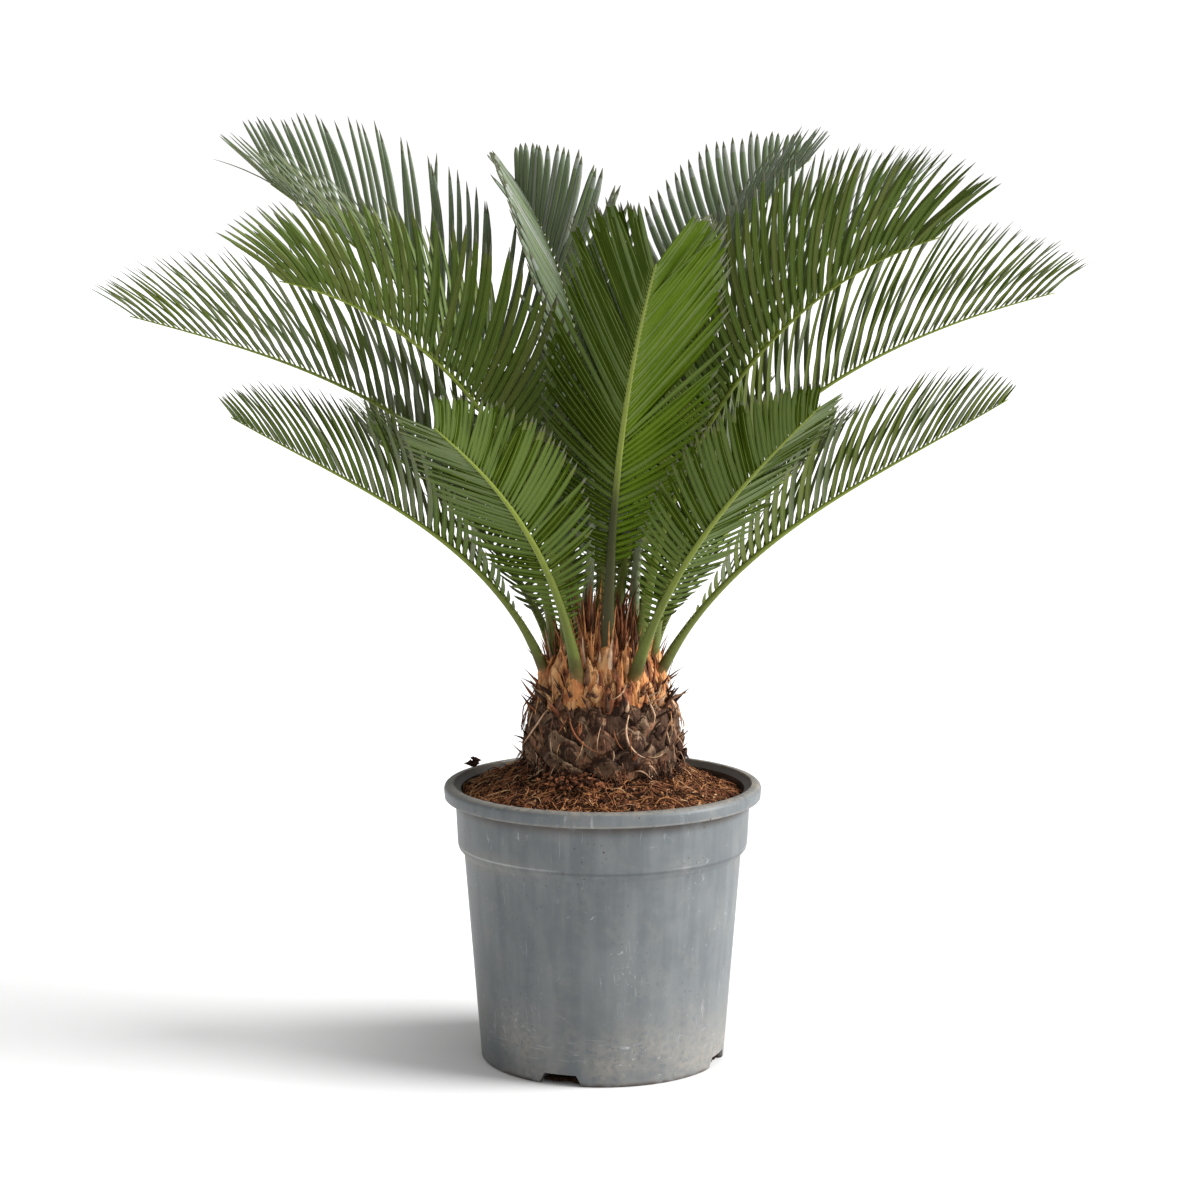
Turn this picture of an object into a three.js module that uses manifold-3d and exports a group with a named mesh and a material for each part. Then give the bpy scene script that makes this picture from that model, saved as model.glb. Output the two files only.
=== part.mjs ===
// A young sago palm in a plastic nursery pot.
//
// Units are millimetres, +Z is up, and the origin is the centre of the pot's flat underside. The front
// faces -Y. Azimuths are degrees anticlockwise from +X, seen from above, so -90 points to the front.
//
// The pot holds a mound of soil, a stout trunk stands on the soil, and every frond is one solid: a stalk
// that tapers into the rib, with the leaflets fused on in two rows.

import * as THREE from "three";
import { mergeVertices } from "three/addons/utils/BufferGeometryUtils.js";
import Module from "manifold-3d";

const wasm = await Module();
wasm.setup();

// ---------------------------------------------------------------- driving dimensions

const CLEARANCE = 0.3; // running gap between pieces that touch on the real plant

const POT = {
  height: 211,
  sides: 36,
  wall: 2.4,
  rimRadius: 120, // outside of the rim band
  rimBand: 11, // height of the rim's upright band
  rimInset: 4, // rounding of the rim's top edge
  rimDraft: 0.6, // the band is this much narrower at its foot
  collarRadius: 111.4, // just under the rim
  collarFoot: 165.5, // height at which the collar steps in
  collarFootRadius: 109.6,
  bodyTop: 157,
  bodyTopRadius: 104.8,
  footRadius: 92.4,
  footEdge: 4, // width of the ring that stands on the ground
  footBevel: 1.2,
  floor: 3, // thickness of the floor plate
  padRadius: 66, // inside this radius the floor lies on the ground, and outside it is raised for drainage
  channelRise: 7,
  channelSlope: 4,
  notches: 4, // drainage notches through the foot
  notchWidth: 35, // at the ground
  notchTop: 25,
  notchHeight: 8.5,
  notchStart: -110, // azimuth of one notch
  notchDepth: 30, // how far in a notch is cut
  drainRadius: 6, // a hole in the raised floor behind each notch
};

const SOIL = {
  mound: 222, // height of the flat top that the trunk stands on
  plateau: 56, // radius of that top
  edge: 202, // height at the pot's wall
};

const TRUNK = {
  sides: 18,
  // height and radius of the trunk's outline, from the cut at soil level to the growing point
  outline: [
    [222.3, 55], [232, 58.5], [245, 58.5], [258, 56.5], [269, 53.5], [277, 47.5],
    [290, 45], [303, 40], [315, 31.5], [325, 20], [331, 8],
  ],
};

// The fronds grow in three tiers. Angles are degrees above the horizon, at the stalk's foot (rise), half way
// along (middle) and at the tip. seat is the radius of the crown on which a frond's foot stands. leaflet is
// the length of a frond's longest leaflets, last the share of it that the last ones have, lean the angle
// between the first leaflets and the rib, and keel the angle by which the rows stand up out of the flat.
const TIERS = {
  top: { seat: 24, length: 430, rise: 86, middle: 66, tip: 26, leaflet: 100, last: 0.32, lean: 72, keel: 52 },
  mid: { seat: 31, length: 410, rise: 78, middle: 45, tip: 12, leaflet: 120, last: 0.5, lean: 80, keel: 56 },
  low: { seat: 43, length: 315, rise: 69, middle: 36, tip: 30, leaflet: 90, last: 0.46, lean: 80, keel: 50 },
};

// One line for each frond: its tier, its azimuth, and what differs from its tier. roll is how far the rows
// have turned about the rib, clockwise as seen from the trunk.
const FRONDS = [
  {
    name: "top_frond_1", tier: "top", azimuth: 126, length: 372, rise: 101,
    middle: 76, tip: 38, roll: -16,
  },
  { name: "top_frond_2", tier: "top", azimuth: 92, seat: 13, length: 325, rise: 70, middle: 44, tip: 12 },
  { name: "top_frond_3", tier: "top", azimuth: 68, length: 330, rise: 72, middle: 38, tip: 8 },
  {
    name: "top_frond_4", tier: "top", azimuth: 52, seat: 36, length: 466,
    rise: 88, middle: 57, tip: 22, roll: -6,
  },
  {
    name: "mid_frond_1", tier: "mid", azimuth: -84, length: 428, middle: 41,
    tip: 26, leaflet: 109, keel: 51, roll: -10,
  },
  {
    name: "mid_frond_2", tier: "mid", azimuth: -150, seat: 29, length: 384,
    rise: 83, middle: 50, tip: 10, keel: 60, roll: -6,
  },
  {
    name: "mid_frond_3", tier: "mid", azimuth: -28, length: 410, rise: 83,
    middle: 53, tip: 14, leaflet: 128, keel: 60, roll: 8,
  },
  {
    name: "mid_frond_4", tier: "mid", azimuth: 179, seat: 35, rise: 85.2,
    middle: 31.8, tip: 14.7, leaflet: 126, lean: 75, keel: 48, length: 434, last: 0.34,
  },
  {
    name: "mid_frond_5", tier: "mid", azimuth: 4, seat: 37, length: 435,
    rise: 84.6, middle: 37.2, tip: 13.3, lean: 75, keel: 60, last: 0.34,
  },
  {
    name: "mid_frond_6", tier: "mid", azimuth: 146, length: 475, rise: 93,
    middle: 43.7, tip: 29, leaflet: 126, keel: 68, roll: -26,
  },
  {
    name: "mid_frond_7", tier: "mid", azimuth: 28, length: 425, rise: 80,
    middle: 55, tip: 20, leaflet: 112,
  },
  { name: "mid_frond_8", tier: "mid", azimuth: 84, seat: 38, length: 350, rise: 64, middle: 32, tip: 2 },
  {
    name: "low_frond_1", tier: "low", azimuth: -115, length: 310, rise: 70,
    middle: 38.7, tip: 25.7, leaflet: 66, last: 0.55, lean: 90, keel: 28, roll: 25,
  },
  {
    name: "low_frond_2", tier: "low", azimuth: -58, length: 320, rise: 62.7,
    middle: 40.3, tip: 33.3, leaflet: 60, last: 0.38, lean: 90, keel: 40, roll: -26,
  },
  {
    name: "low_frond_3", tier: "low", azimuth: 193, length: 312,
    middle: 34.5, tip: 31, lean: 68, last: 0.25,
  },
  {
    name: "low_frond_4", tier: "low", azimuth: -15, length: 338, rise: 62.5,
    middle: 34.6, tip: 32, leaflet: 95, lean: 66, last: 0.18,
  },
  { name: "low_frond_5", tier: "low", azimuth: 142, length: 260 },
  { name: "low_frond_6", tier: "low", azimuth: 107, length: 300 },
  { name: "low_frond_7", tier: "low", azimuth: 62, length: 280 },
  { name: "low_frond_8", tier: "low", azimuth: 38, length: 250 },
];

const RIB = {
  sides: 4,
  steps: 9,
  lineSteps: 36, // places at which the rib's curve is worked out
  footRadius: 5.8,
  stalkRadius: 4.1, // a little way up the bare stalk
  stalkAt: 0.1,
  tipRadius: 1.1,
  sunk: 9, // how far the stalk's foot is carried into the trunk before it is cut there
  rolledBy: 0.35, // share of the rib's length by which the rows have their full roll
};

const LEAFLET = {
  rowCount: 15, // leaflets in each of a frond's two rows
  firstAt: 0.17, // shares of the rib's length between which the rows run
  lastAt: 0.985,
  firstShare: 0.16, // length of the first leaflet, as a share of the longest
  longestFrom: 0.45, // shares of the row between which its leaflets are longest
  longestTo: 0.6,
  width: 12.5,
  footWidth: 0.7, // share of that width at the start of the row
  tipWidth: 0.75,
  thickness: 1.5,
  widestAt: 0.26, // share of a leaflet's own length
  leanAtTip: 30, // degrees between leaflet and rib, where the rows end
  curl: 17, // degrees by which a leaflet bends on towards the tip
  keelAtFoot: 12, // degrees of keel where the rows begin
  keelFrom: 0.4, // share of the row from which the keel is full
  shorter: [1, 0.82, 0.64, 0.46], // shares of its length that a crowded leaflet tries in turn
};

// Dry leaf bases cover the trunk in rings: short scales on the barrel, broad cut bases on its shoulder, and
// long fibrous spikes between the stalks. lean is measured from upright.
const SCALES = [
  { rings: 4, firstHeight: 233, ringRise: 11, perRing: 13, length: 20, width: 15, thickness: 5, lean: 24 },
  { rings: 1, firstHeight: 279, ringRise: 0, perRing: 12, length: 42, width: 19, thickness: 5, lean: 5 },
  { rings: 2, firstHeight: 295, ringRise: 13, perRing: 10, length: 50, width: 9, thickness: 5, lean: 4 },
];

const COLOURS = {
  pot: new THREE.MeshStandardMaterial({ color: 0x7f888b, roughness: 0.55, metalness: 0 }),
  soil: new THREE.MeshStandardMaterial({ color: 0x4a2c1c, roughness: 1, metalness: 0 }),
  trunk: new THREE.MeshStandardMaterial({ color: 0x6b4a33, roughness: 0.95, metalness: 0 }),
  frond: new THREE.MeshStandardMaterial({ color: 0x3d5c22, roughness: 0.45, metalness: 0 }),
};

// ---------------------------------------------------------------- helpers

const CRUMB = 0.08; // edges shorter than this are drawn together, in mm
const GAP_SEARCH = 2; // how far the clearance tests look, in mm

// A closed three.js geometry as a manifold-3d solid.
function solidOf(geometry) {
  const bare = new THREE.BufferGeometry();
  const source = geometry.index ? geometry.toNonIndexed() : geometry;
  bare.setAttribute("position", source.getAttribute("position"));
  const merged = mergeVertices(bare, 1e-4);
  return new wasm.Manifold(
    new wasm.Mesh({
      numProp: 3,
      vertProperties: new Float32Array(merged.attributes.position.array),
      triVerts: new Uint32Array(merged.index.array),
    }),
  );
}

// A manifold-3d solid as a three.js geometry.
function geometryOf(solid) {
  const mesh = solid.getMesh();
  const positions = new Float32Array(mesh.numVert * 3);
  for (let i = 0; i < mesh.numVert; i++) {
    positions.set(mesh.vertProperties.subarray(i * mesh.numProp, i * mesh.numProp + 3), i * 3);
  }
  const geometry = new THREE.BufferGeometry();
  geometry.setAttribute("position", new THREE.BufferAttribute(positions, 3));
  geometry.setIndex(new THREE.BufferAttribute(new Uint32Array(mesh.triVerts), 1));
  geometry.computeVertexNormals();
  return geometry;
}

// The union of many solids, without the loose scraps.
function fused(solids) {
  const whole = solids.reduce((sum, solid) => sum.add(solid));
  return largestOf(whole).simplify(CRUMB);
}

function largestOf(solid) {
  const pieces = solid.decompose();
  return pieces.reduce((best, piece) => (piece.volume() > best.volume() ? piece : best));
}

// The solid of a profile, given as [height, radius] pairs, turned about the Z axis.
function turned(profile, sides) {
  const points = profile.map(([z, r]) => new THREE.Vector2(r, z));
  const lathe = new THREE.LatheGeometry(points, sides);
  lathe.rotateX(Math.PI / 2);
  return facingOut(lathe);
}

// A closed shape that comes out inside out has its faces turned round.
function facingOut(geometry) {
  const solid = solidOf(geometry);
  if (solid.volume() > 0) return solid;
  const index = geometry.index.array;
  for (let i = 0; i < index.length; i += 3) {
    [index[i + 1], index[i + 2]] = [index[i + 2], index[i + 1]];
  }
  return solidOf(geometry);
}

function mapVertices(geometry, change) {
  const position = geometry.getAttribute("position");
  const point = new THREE.Vector3();
  for (let i = 0; i < position.count; i++) {
    point.fromBufferAttribute(position, i);
    change(point);
    position.setXYZ(i, point.x, point.y, point.z);
  }
  return geometry;
}

const radians = THREE.MathUtils.degToRad;
const lerp = THREE.MathUtils.lerp;

// The curve through three values at 0, 1/2 and 1.
function throughThree(start, middle, end, t) {
  return start * (1 - t) * (1 - 2 * t) + middle * 4 * t * (1 - t) + end * t * (2 * t - 1);
}

// ---------------------------------------------------------------- pot and soil

// Inside radius of the pot at a height.
function potInside(z) {
  const taper = Math.min(1, z / POT.bodyTop);
  const outside = z < POT.collarFoot ? lerp(POT.footRadius, POT.bodyTopRadius, taper) : POT.collarFootRadius;
  return outside - POT.wall;
}

function potSolid() {
  const p = POT;
  const bandFoot = p.height - p.rimBand;
  const raised = p.channelRise + p.floor;
  const ringInside = p.footRadius - p.footBevel - p.footEdge;
  const profile = [
    [0, 0],
    [0, p.padRadius],
    [p.channelRise, p.padRadius + p.channelSlope],
    [p.channelRise, ringInside - 1],
    [0, ringInside],
    [0, p.footRadius - p.footBevel],
    [p.footBevel, p.footRadius],
    [p.bodyTop, p.bodyTopRadius],
    [p.collarFoot, p.collarFootRadius],
    [bandFoot - p.rimBand / 2, p.collarRadius],
    [bandFoot, p.rimRadius - p.rimDraft],
    [p.height - p.rimInset, p.rimRadius],
    [p.height - p.rimInset / 4, p.rimRadius - p.rimInset * 0.6],
    [p.height, p.rimRadius - p.rimInset],
    [p.height, p.collarRadius + 1],
    [p.height - p.rimInset, potInside(p.collarFoot)],
    [p.collarFoot, potInside(p.collarFoot)],
    [p.bodyTop + p.wall, potInside(p.bodyTop)],
    [raised, potInside(raised)],
    [raised, p.padRadius + p.channelSlope / 2],
    [p.floor, p.padRadius - p.channelSlope / 2],
    [p.floor, 0],
  ];
  let pot = turned(profile, p.sides);
  for (let i = 0; i < p.notches; i++) {
    const turn = radians(p.notchStart + (i * 360) / p.notches);
    const outline = new THREE.Shape([
      new THREE.Vector2(-p.notchWidth / 2, -1),
      new THREE.Vector2(p.notchWidth / 2, -1),
      new THREE.Vector2(p.notchTop / 2, p.notchHeight),
      new THREE.Vector2(-p.notchTop / 2, p.notchHeight),
    ]);
    const notch = new THREE.ExtrudeGeometry(outline, { depth: p.notchDepth, bevelEnabled: false });
    notch.rotateX(Math.PI / 2);
    notch.rotateZ(Math.PI / 2);
    notch.translate(p.footRadius - p.notchDepth / 2, 0, 0);
    notch.rotateZ(turn);
    const drain = new THREE.CylinderGeometry(p.drainRadius, p.drainRadius, raised, 8);
    drain.rotateX(Math.PI / 2);
    drain.translate((p.padRadius + p.footRadius) / 2, 0, raised);
    drain.rotateZ(turn);
    pot = pot.subtract(solidOf(notch)).subtract(solidOf(drain));
  }
  return pot;
}

function soilSolid() {
  const c = CLEARANCE;
  const raised = POT.channelRise + POT.floor + c;
  const inside = (z) => potInside(z) - c;
  const slopeTop = POT.padRadius + POT.channelSlope / 2;
  const profile = [
    [POT.floor + c, 0],
    [POT.floor + c, POT.padRadius - POT.channelSlope / 2 - c],
    [raised, slopeTop - c],
    [raised, inside(raised)],
    [POT.bodyTop + POT.wall, inside(POT.bodyTop)],
    [POT.collarFoot + c, inside(POT.collarFoot)],
    [SOIL.edge, inside(SOIL.edge)],
    [lerp(SOIL.edge, SOIL.mound, 0.45), lerp(inside(SOIL.edge), SOIL.plateau, 0.5)],
    [SOIL.mound, SOIL.plateau],
    [SOIL.mound, 0],
  ];
  return turned(profile, POT.sides);
}

// ---------------------------------------------------------------- trunk

// Radius of the trunk's outline at a height.
function trunkRadius(z) {
  const outline = TRUNK.outline;
  for (let i = 1; i < outline.length; i++) {
    const [z0, r0] = outline[i - 1];
    const [z1, r1] = outline[i];
    if (z <= z1) return lerp(r0, r1, Math.max(0, (z - z0) / (z1 - z0)));
  }
  return 0;
}

// The height at which the crown has narrowed to a radius.
function crownHeight(radius) {
  const outline = TRUNK.outline;
  let i = outline.length - 1;
  while (outline[i - 1][1] < radius) i -= 1;
  const [z0, r0] = outline[i - 1];
  const [z1, r1] = outline[i];
  return lerp(z0, z1, (r0 - radius) / (r0 - r1));
}

// The trunk's core, or a copy of it that is larger all round by grow.
function trunkCore(grow = 0) {
  const first = TRUNK.outline[0];
  const last = TRUNK.outline[TRUNK.outline.length - 1];
  const profile = [
    [first[0] - grow, 0],
    [first[0] - grow, first[1] + grow],
    ...TRUNK.outline.slice(1).map(([z, r]) => [z + grow, r + grow]),
    [last[0] + 1 + grow, 0],
  ];
  return turned(profile, TRUNK.sides);
}

// A pointed scale with its root sunk in the trunk, leaning out from upright by lean degrees.
function scaleSolid({ azimuth, z, length, width, thickness, lean }) {
  const cone = new THREE.ConeGeometry(1, 1, 4);
  cone.rotateX(Math.PI / 2); // point along +Z
  cone.rotateZ(Math.PI / 4);
  cone.translate(0, 0, 0.5);
  cone.scale(thickness * 0.7, width * 0.7, length);
  cone.rotateY(radians(lean));
  cone.translate(trunkRadius(z) - thickness * 0.45, 0, z - length * 0.25);
  cone.rotateZ(radians(azimuth));
  return solidOf(cone);
}

function trunkSolid(fronds) {
  const scales = SCALES.flatMap((kind) => {
    const ring = Array.from({ length: kind.rings * kind.perRing }, (_, i) => i);
    return ring.map((i) => {
      const row = Math.floor(i / kind.perRing);
      const uneven = Math.sin(i * 12.9 + kind.firstHeight); // a fixed pattern from -1 to 1
      return {
        azimuth: ((i + (row % 2) / 2) * 360) / kind.perRing + uneven * 5,
        z: kind.firstHeight + row * kind.ringRise + uneven * 2,
        length: kind.length * (1 + 0.2 * uneven),
        width: kind.width,
        thickness: kind.thickness,
        lean: kind.lean * (1 + 0.5 * uneven),
      };
    });
  });
  const clear = scales.map(scaleSolid).filter((scale) => isClear(scale, fronds));
  return fused([trunkCore(), ...clear]);
}

// ---------------------------------------------------------------- fronds

// The rib's centre line: its points and frames from foot to tip.
function ribLine(frond) {
  const steps = RIB.lineSteps;
  const line = [];
  const point = new THREE.Vector3(frond.seat, 0, crownHeight(frond.seat))
    .applyAxisAngle(new THREE.Vector3(0, 0, 1), radians(frond.azimuth));
  for (let i = 0; i <= steps; i++) {
    const t = i / steps;
    const climb = radians(throughThree(frond.rise, frond.middle, frond.tip, t));
    const heading = radians(frond.azimuth);
    const roll = radians(frond.roll * Math.min(1, t / RIB.rolledBy));
    const along = new THREE.Vector3(
      Math.cos(climb) * Math.cos(heading), Math.cos(climb) * Math.sin(heading), Math.sin(climb),
    );
    const across = new THREE.Vector3(-Math.sin(heading), Math.cos(heading), 0).applyAxisAngle(along, roll);
    const up = new THREE.Vector3().crossVectors(along, across);
    line.push({ point: point.clone(), along, across, up });
    point.addScaledVector(along, frond.length / steps);
  }
  return line;
}

// The place on a rib line at share t.
function placeOn(line, t) {
  const at = Math.min(Math.max(t, 0), 1) * (line.length - 1);
  const i = Math.min(Math.floor(at), line.length - 2);
  const mix = (key) => line[i][key].clone().lerp(line[i + 1][key], at - i);
  return {
    point: mix("point"),
    along: mix("along").normalize(),
    across: mix("across").normalize(),
    up: mix("up").normalize(),
  };
}

function ribRadius(t) {
  if (t < RIB.stalkAt) return lerp(RIB.footRadius, RIB.stalkRadius, Math.max(t, 0) / RIB.stalkAt);
  return lerp(RIB.stalkRadius, RIB.tipRadius, (t - RIB.stalkAt) / (1 - RIB.stalkAt));
}

function ribSolid(frond) {
  const line = ribLine(frond);
  const rib = new THREE.CylinderGeometry(1, 1, 1, RIB.sides, RIB.steps);
  rib.translate(0, 0.5, 0);
  mapVertices(rib, (v) => {
    const t = v.y;
    const place = placeOn(line, t);
    const radius = ribRadius(t);
    const side = v.x * radius;
    const rise = v.z * radius;
    v.copy(place.point).addScaledVector(place.across, side).addScaledVector(place.up, rise);
    if (t === 0) v.addScaledVector(place.along, -RIB.sunk);
  });
  return facingOut(rib).subtract(trunkCore(CLEARANCE));
}

// How a leaflet's length follows its place u in its row, from 0 to 1.
function lengthShare(u, last) {
  const f = LEAFLET;
  const growth = lerp(f.firstShare, 1, Math.sin((Math.PI / 2) * Math.min(1, u / f.longestFrom)));
  const fade = Math.max(0, (u - f.longestTo) / (1 - f.longestTo)) ** 1.5;
  return growth * lerp(1, last, fade);
}

// One leaflet: an eight-faced blade with its root in the rib.
function leafletSolid(frond, line, u, side, share) {
  const t = lerp(LEAFLET.firstAt, LEAFLET.lastAt, u);
  const place = placeOn(line, t);
  const length = frond.leaflet * lengthShare(u, frond.last) * share;
  const lean = lerp(frond.lean, LEAFLET.leanAtTip, u) + LEAFLET.curl * 0.3;
  const keel = radians(lerp(LEAFLET.keelAtFoot, frond.keel, Math.min(1, u / LEAFLET.keelFrom)));
  const outward = place.across.clone().multiplyScalar(side * Math.cos(keel))
    .addScaledVector(place.up, Math.sin(keel));
  const heading = (degrees) => place.along.clone().multiplyScalar(Math.cos(radians(degrees)))
    .addScaledVector(outward, Math.sin(radians(degrees)));
  const first = heading(lean);
  const last = heading(lean - LEAFLET.curl);
  const root = place.point.clone().addScaledVector(first, -ribRadius(t) * 0.4);
  const widest = place.point.clone().addScaledVector(first, length * LEAFLET.widestAt);
  const tip = widest.clone().addScaledVector(last, length * (1 - LEAFLET.widestAt));
  const broad = place.along.clone().addScaledVector(first, -place.along.dot(first)).normalize();
  const thick = new THREE.Vector3().crossVectors(first, broad);
  const early = lerp(LEAFLET.footWidth, 1, Math.min(1, u * 3));
  const width = LEAFLET.width * early * lerp(1, LEAFLET.tipWidth, u ** 3);

  const blade = new THREE.OctahedronGeometry(1);
  mapVertices(blade, (v) => {
    const sideways = (v.x * width) / 2;
    const deep = (v.y * LEAFLET.thickness) / 2;
    if (v.z < -0.5) v.copy(root);
    else if (v.z > 0.5) v.copy(tip);
    else v.copy(widest).addScaledVector(broad, sideways).addScaledVector(thick, deep);
  });
  return facingOut(indexed(blade));
}

function indexed(geometry) {
  const bare = new THREE.BufferGeometry();
  bare.setAttribute("position", geometry.getAttribute("position"));
  return mergeVertices(bare, 1e-4);
}

function boxesMeet(a, b) {
  return [0, 1, 2].every((k) => a.min[k] - 1 < b.max[k] && b.min[k] - 1 < a.max[k]);
}

// Whether a solid keeps the clearance to all the others.
function isClear(solid, others) {
  const box = solid.boundingBox();
  return others.every(
    (other) => !boxesMeet(box, other.boundingBox()) || solid.minGap(other, GAP_SEARCH) > CLEARANCE,
  );
}

function frondSolids() {
  const fronds = FRONDS.map((frond) => ({ roll: 0, ...TIERS[frond.tier], ...frond }));
  const ribs = fronds.map(ribSolid);
  const blades = fronds.map(() => []);
  fronds.forEach((frond, own) => {
    const line = ribLine(frond);
    const others = fronds.flatMap((_, i) => (i === own ? [] : [ribs[i], ...blades[i]]));
    for (let i = 0; i < LEAFLET.rowCount; i++) {
      for (const side of [-1, 1]) {
        const u = (i + (side > 0 ? 0.5 : 0)) / (LEAFLET.rowCount - 0.5);
        for (const share of LEAFLET.shorter) {
          const blade = leafletSolid(frond, line, u, side, share);
          if (!isClear(blade, others)) continue;
          blades[own].push(blade);
          break;
        }
      }
    }
  });
  return ribs.map((rib, i) => fused([rib, ...blades[i]]));
}

// ---------------------------------------------------------------- the whole plant

function meshOf(name, solid, material) {
  const mesh = new THREE.Mesh(geometryOf(solid), material);
  mesh.name = name;
  return mesh;
}

const palm = new THREE.Group();
const fronds = frondSolids();
palm.add(meshOf("pot", potSolid(), COLOURS.pot));
palm.add(meshOf("soil", soilSolid(), COLOURS.soil));
palm.add(meshOf("trunk", trunkSolid(fronds), COLOURS.trunk));
FRONDS.forEach((frond, i) => palm.add(meshOf(frond.name, fronds[i], COLOURS.frond)));

export default palm;
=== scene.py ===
"""A young sago palm in a worn nursery pot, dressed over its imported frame.

Units are metres, +Z is up, the origin is the centre of the pot's flat underside and the front faces -Y.
Azimuths are degrees anticlockwise from +X, seen from above, so -90 points to the front.
"""

import logging
import math
from dataclasses import dataclass, replace
from enum import Enum
from functools import cached_property
from typing import Any, Mapping, Sequence

import bmesh
import bpy
import numpy as np
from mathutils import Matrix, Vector, noise


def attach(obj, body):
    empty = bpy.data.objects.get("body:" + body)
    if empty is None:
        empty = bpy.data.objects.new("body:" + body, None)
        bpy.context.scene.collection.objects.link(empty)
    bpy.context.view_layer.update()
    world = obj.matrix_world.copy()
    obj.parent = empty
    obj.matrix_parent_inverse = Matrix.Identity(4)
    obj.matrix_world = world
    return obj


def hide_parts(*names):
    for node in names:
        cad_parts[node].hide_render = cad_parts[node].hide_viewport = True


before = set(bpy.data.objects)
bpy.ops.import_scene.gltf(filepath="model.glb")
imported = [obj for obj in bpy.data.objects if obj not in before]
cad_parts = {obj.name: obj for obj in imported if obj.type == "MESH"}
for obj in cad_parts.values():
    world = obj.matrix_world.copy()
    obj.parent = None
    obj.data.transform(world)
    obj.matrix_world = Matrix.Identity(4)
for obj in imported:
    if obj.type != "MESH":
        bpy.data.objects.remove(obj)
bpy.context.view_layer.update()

LOG = logging.getLogger("sago_palm")
UP = np.array([0.0, 0.0, 1.0])

Colour = tuple[float, float, float]
Span = tuple[float, float]  # a least and a greatest value
Profile = Sequence[tuple[float, float]]  # pairs of height and radius
Values = Mapping[int | str, Any]  # what a node's settings or sockets get
Random = np.random.Generator

# Where the points of a blade's cross-section lie, from one edge to the other.
FOUR_FACES = (-1.0, -0.5, 0.0, 0.5, 1.0)
SIX_FACES = (-1.0, -0.67, -0.33, 0.0, 0.33, 0.67, 1.0)
LEAFLET_FACES = (-1.0, -0.58, -0.12, 0.12, 0.58, 1.0)


# ---------------------------------------------------------------- curves and directions


def through_three(start: float, middle: float, end: float, share: float) -> float:
    """The curve through three values at shares 0, 1/2 and 1."""
    first = start * (1 - share) * (1 - 2 * share)
    return first + middle * 4 * share * (1 - share) + end * share * (2 * share - 1)


def lerp(start: float, end: float, share: float) -> float:
    """The value at a share of the way from start to end."""
    return start + (end - start) * share


def unit(vector: np.ndarray) -> np.ndarray:
    """The vector, or each row of vectors, at length 1."""
    return vector / np.linalg.norm(vector, axis=-1, keepdims=True)


def outward(azimuth: float) -> np.ndarray:
    """The level direction that points along an azimuth in degrees."""
    turn = math.radians(azimuth)
    return np.array([math.cos(turn), math.sin(turn), 0.0])


def spread(out: np.ndarray, away: Any, rise: Any, shift: Any) -> np.ndarray:
    """Rows of vectors, told by their parts along a level direction, upward, and to the left of it."""
    return np.outer(away, out) + np.outer(rise, UP) + np.outer(shift, np.cross(UP, out))


def round_turn(sides: int) -> np.ndarray:
    """The azimuths of the points of a ring, in radians."""
    return np.arange(sides) * 2 * math.pi / sides


def bumps(points: np.ndarray, scale: float, seed: float = 0.0) -> np.ndarray:
    """Smooth noise from about -1 to 1 at each point.

    Args:
        points: rows of coordinates, in metres.
        scale: lumps to the metre.
        seed: moves the pattern.

    Returns:
        One value for each row.
    """
    shift = Vector((seed, seed * 1.7, seed * 0.3))
    values = [noise.noise(Vector(row) * scale + shift) for row in points.reshape(-1, 3)]
    return np.array(values).reshape(points.shape[:-1])


def pushed(
    rings: np.ndarray, face: np.ndarray, stretch: float, scale: float, seed: float, depth: float
) -> np.ndarray:
    """The relief of a fibrous piece, as offsets of its points along a direction.

    Args:
        rings: the points.
        face: the direction.
        stretch: below 1, the share that draws the noise out upward.
        scale: lumps to the metre.
        seed: moves the pattern.
        depth: how far the highest lumps stand out, in metres.

    Returns:
        One offset for each point.
    """
    return face * (bumps(rings * (1, 1, stretch), scale, seed) * depth)[..., None]


# ---------------------------------------------------------------- materials


class Wire:
    """An output socket that takes part in arithmetic: each operator adds one Math node."""

    def __init__(self, painter: "Painter", socket: bpy.types.NodeSocket) -> None:
        """Wraps a socket of the painter's nodes."""
        self.painter = painter
        self.socket = socket

    def _math(self, operation: str, first: "Wire | float", second: "Wire | float") -> "Wire":
        """Adds the Math node of one operation."""
        return self.painter.wire("ShaderNodeMath", {"operation": operation}, {0: first, 1: second})

    def __add__(self, other: "Wire | float") -> "Wire":
        """self + other."""
        return self._math("ADD", self, other)

    __radd__ = __add__

    def __sub__(self, other: "Wire | float") -> "Wire":
        """self - other."""
        return self._math("SUBTRACT", self, other)

    def __rsub__(self, other: "Wire | float") -> "Wire":
        """other - self."""
        return self._math("SUBTRACT", other, self)

    def __mul__(self, other: "Wire | float") -> "Wire":
        """self * other."""
        return self._math("MULTIPLY", self, other)

    __rmul__ = __mul__

    def rise(self, low: float, high: float) -> "Wire":
        """A smooth step from 0 at low to 1 at high; low may be the larger one."""
        inputs = {0: self, 1: low, 2: high, 3: 0.0, 4: 1.0}
        return self.painter.wire("ShaderNodeMapRange", {"interpolation_type": "SMOOTHSTEP"}, inputs)

    def between(self, base: float, start: float, full: float, fall: float, end: float) -> "Wire":
        """A smooth band that is 1 from full to fall and 0 outside start and end, all told from a base."""
        return self.rise(base + start, base + full) * self.rise(base + end, base + fall)

    def length(self) -> "Wire":
        """The length of a vector."""
        return self.painter.wire("ShaderNodeVectorMath", {"operation": "LENGTH"}, {0: self}, "Value")


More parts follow.
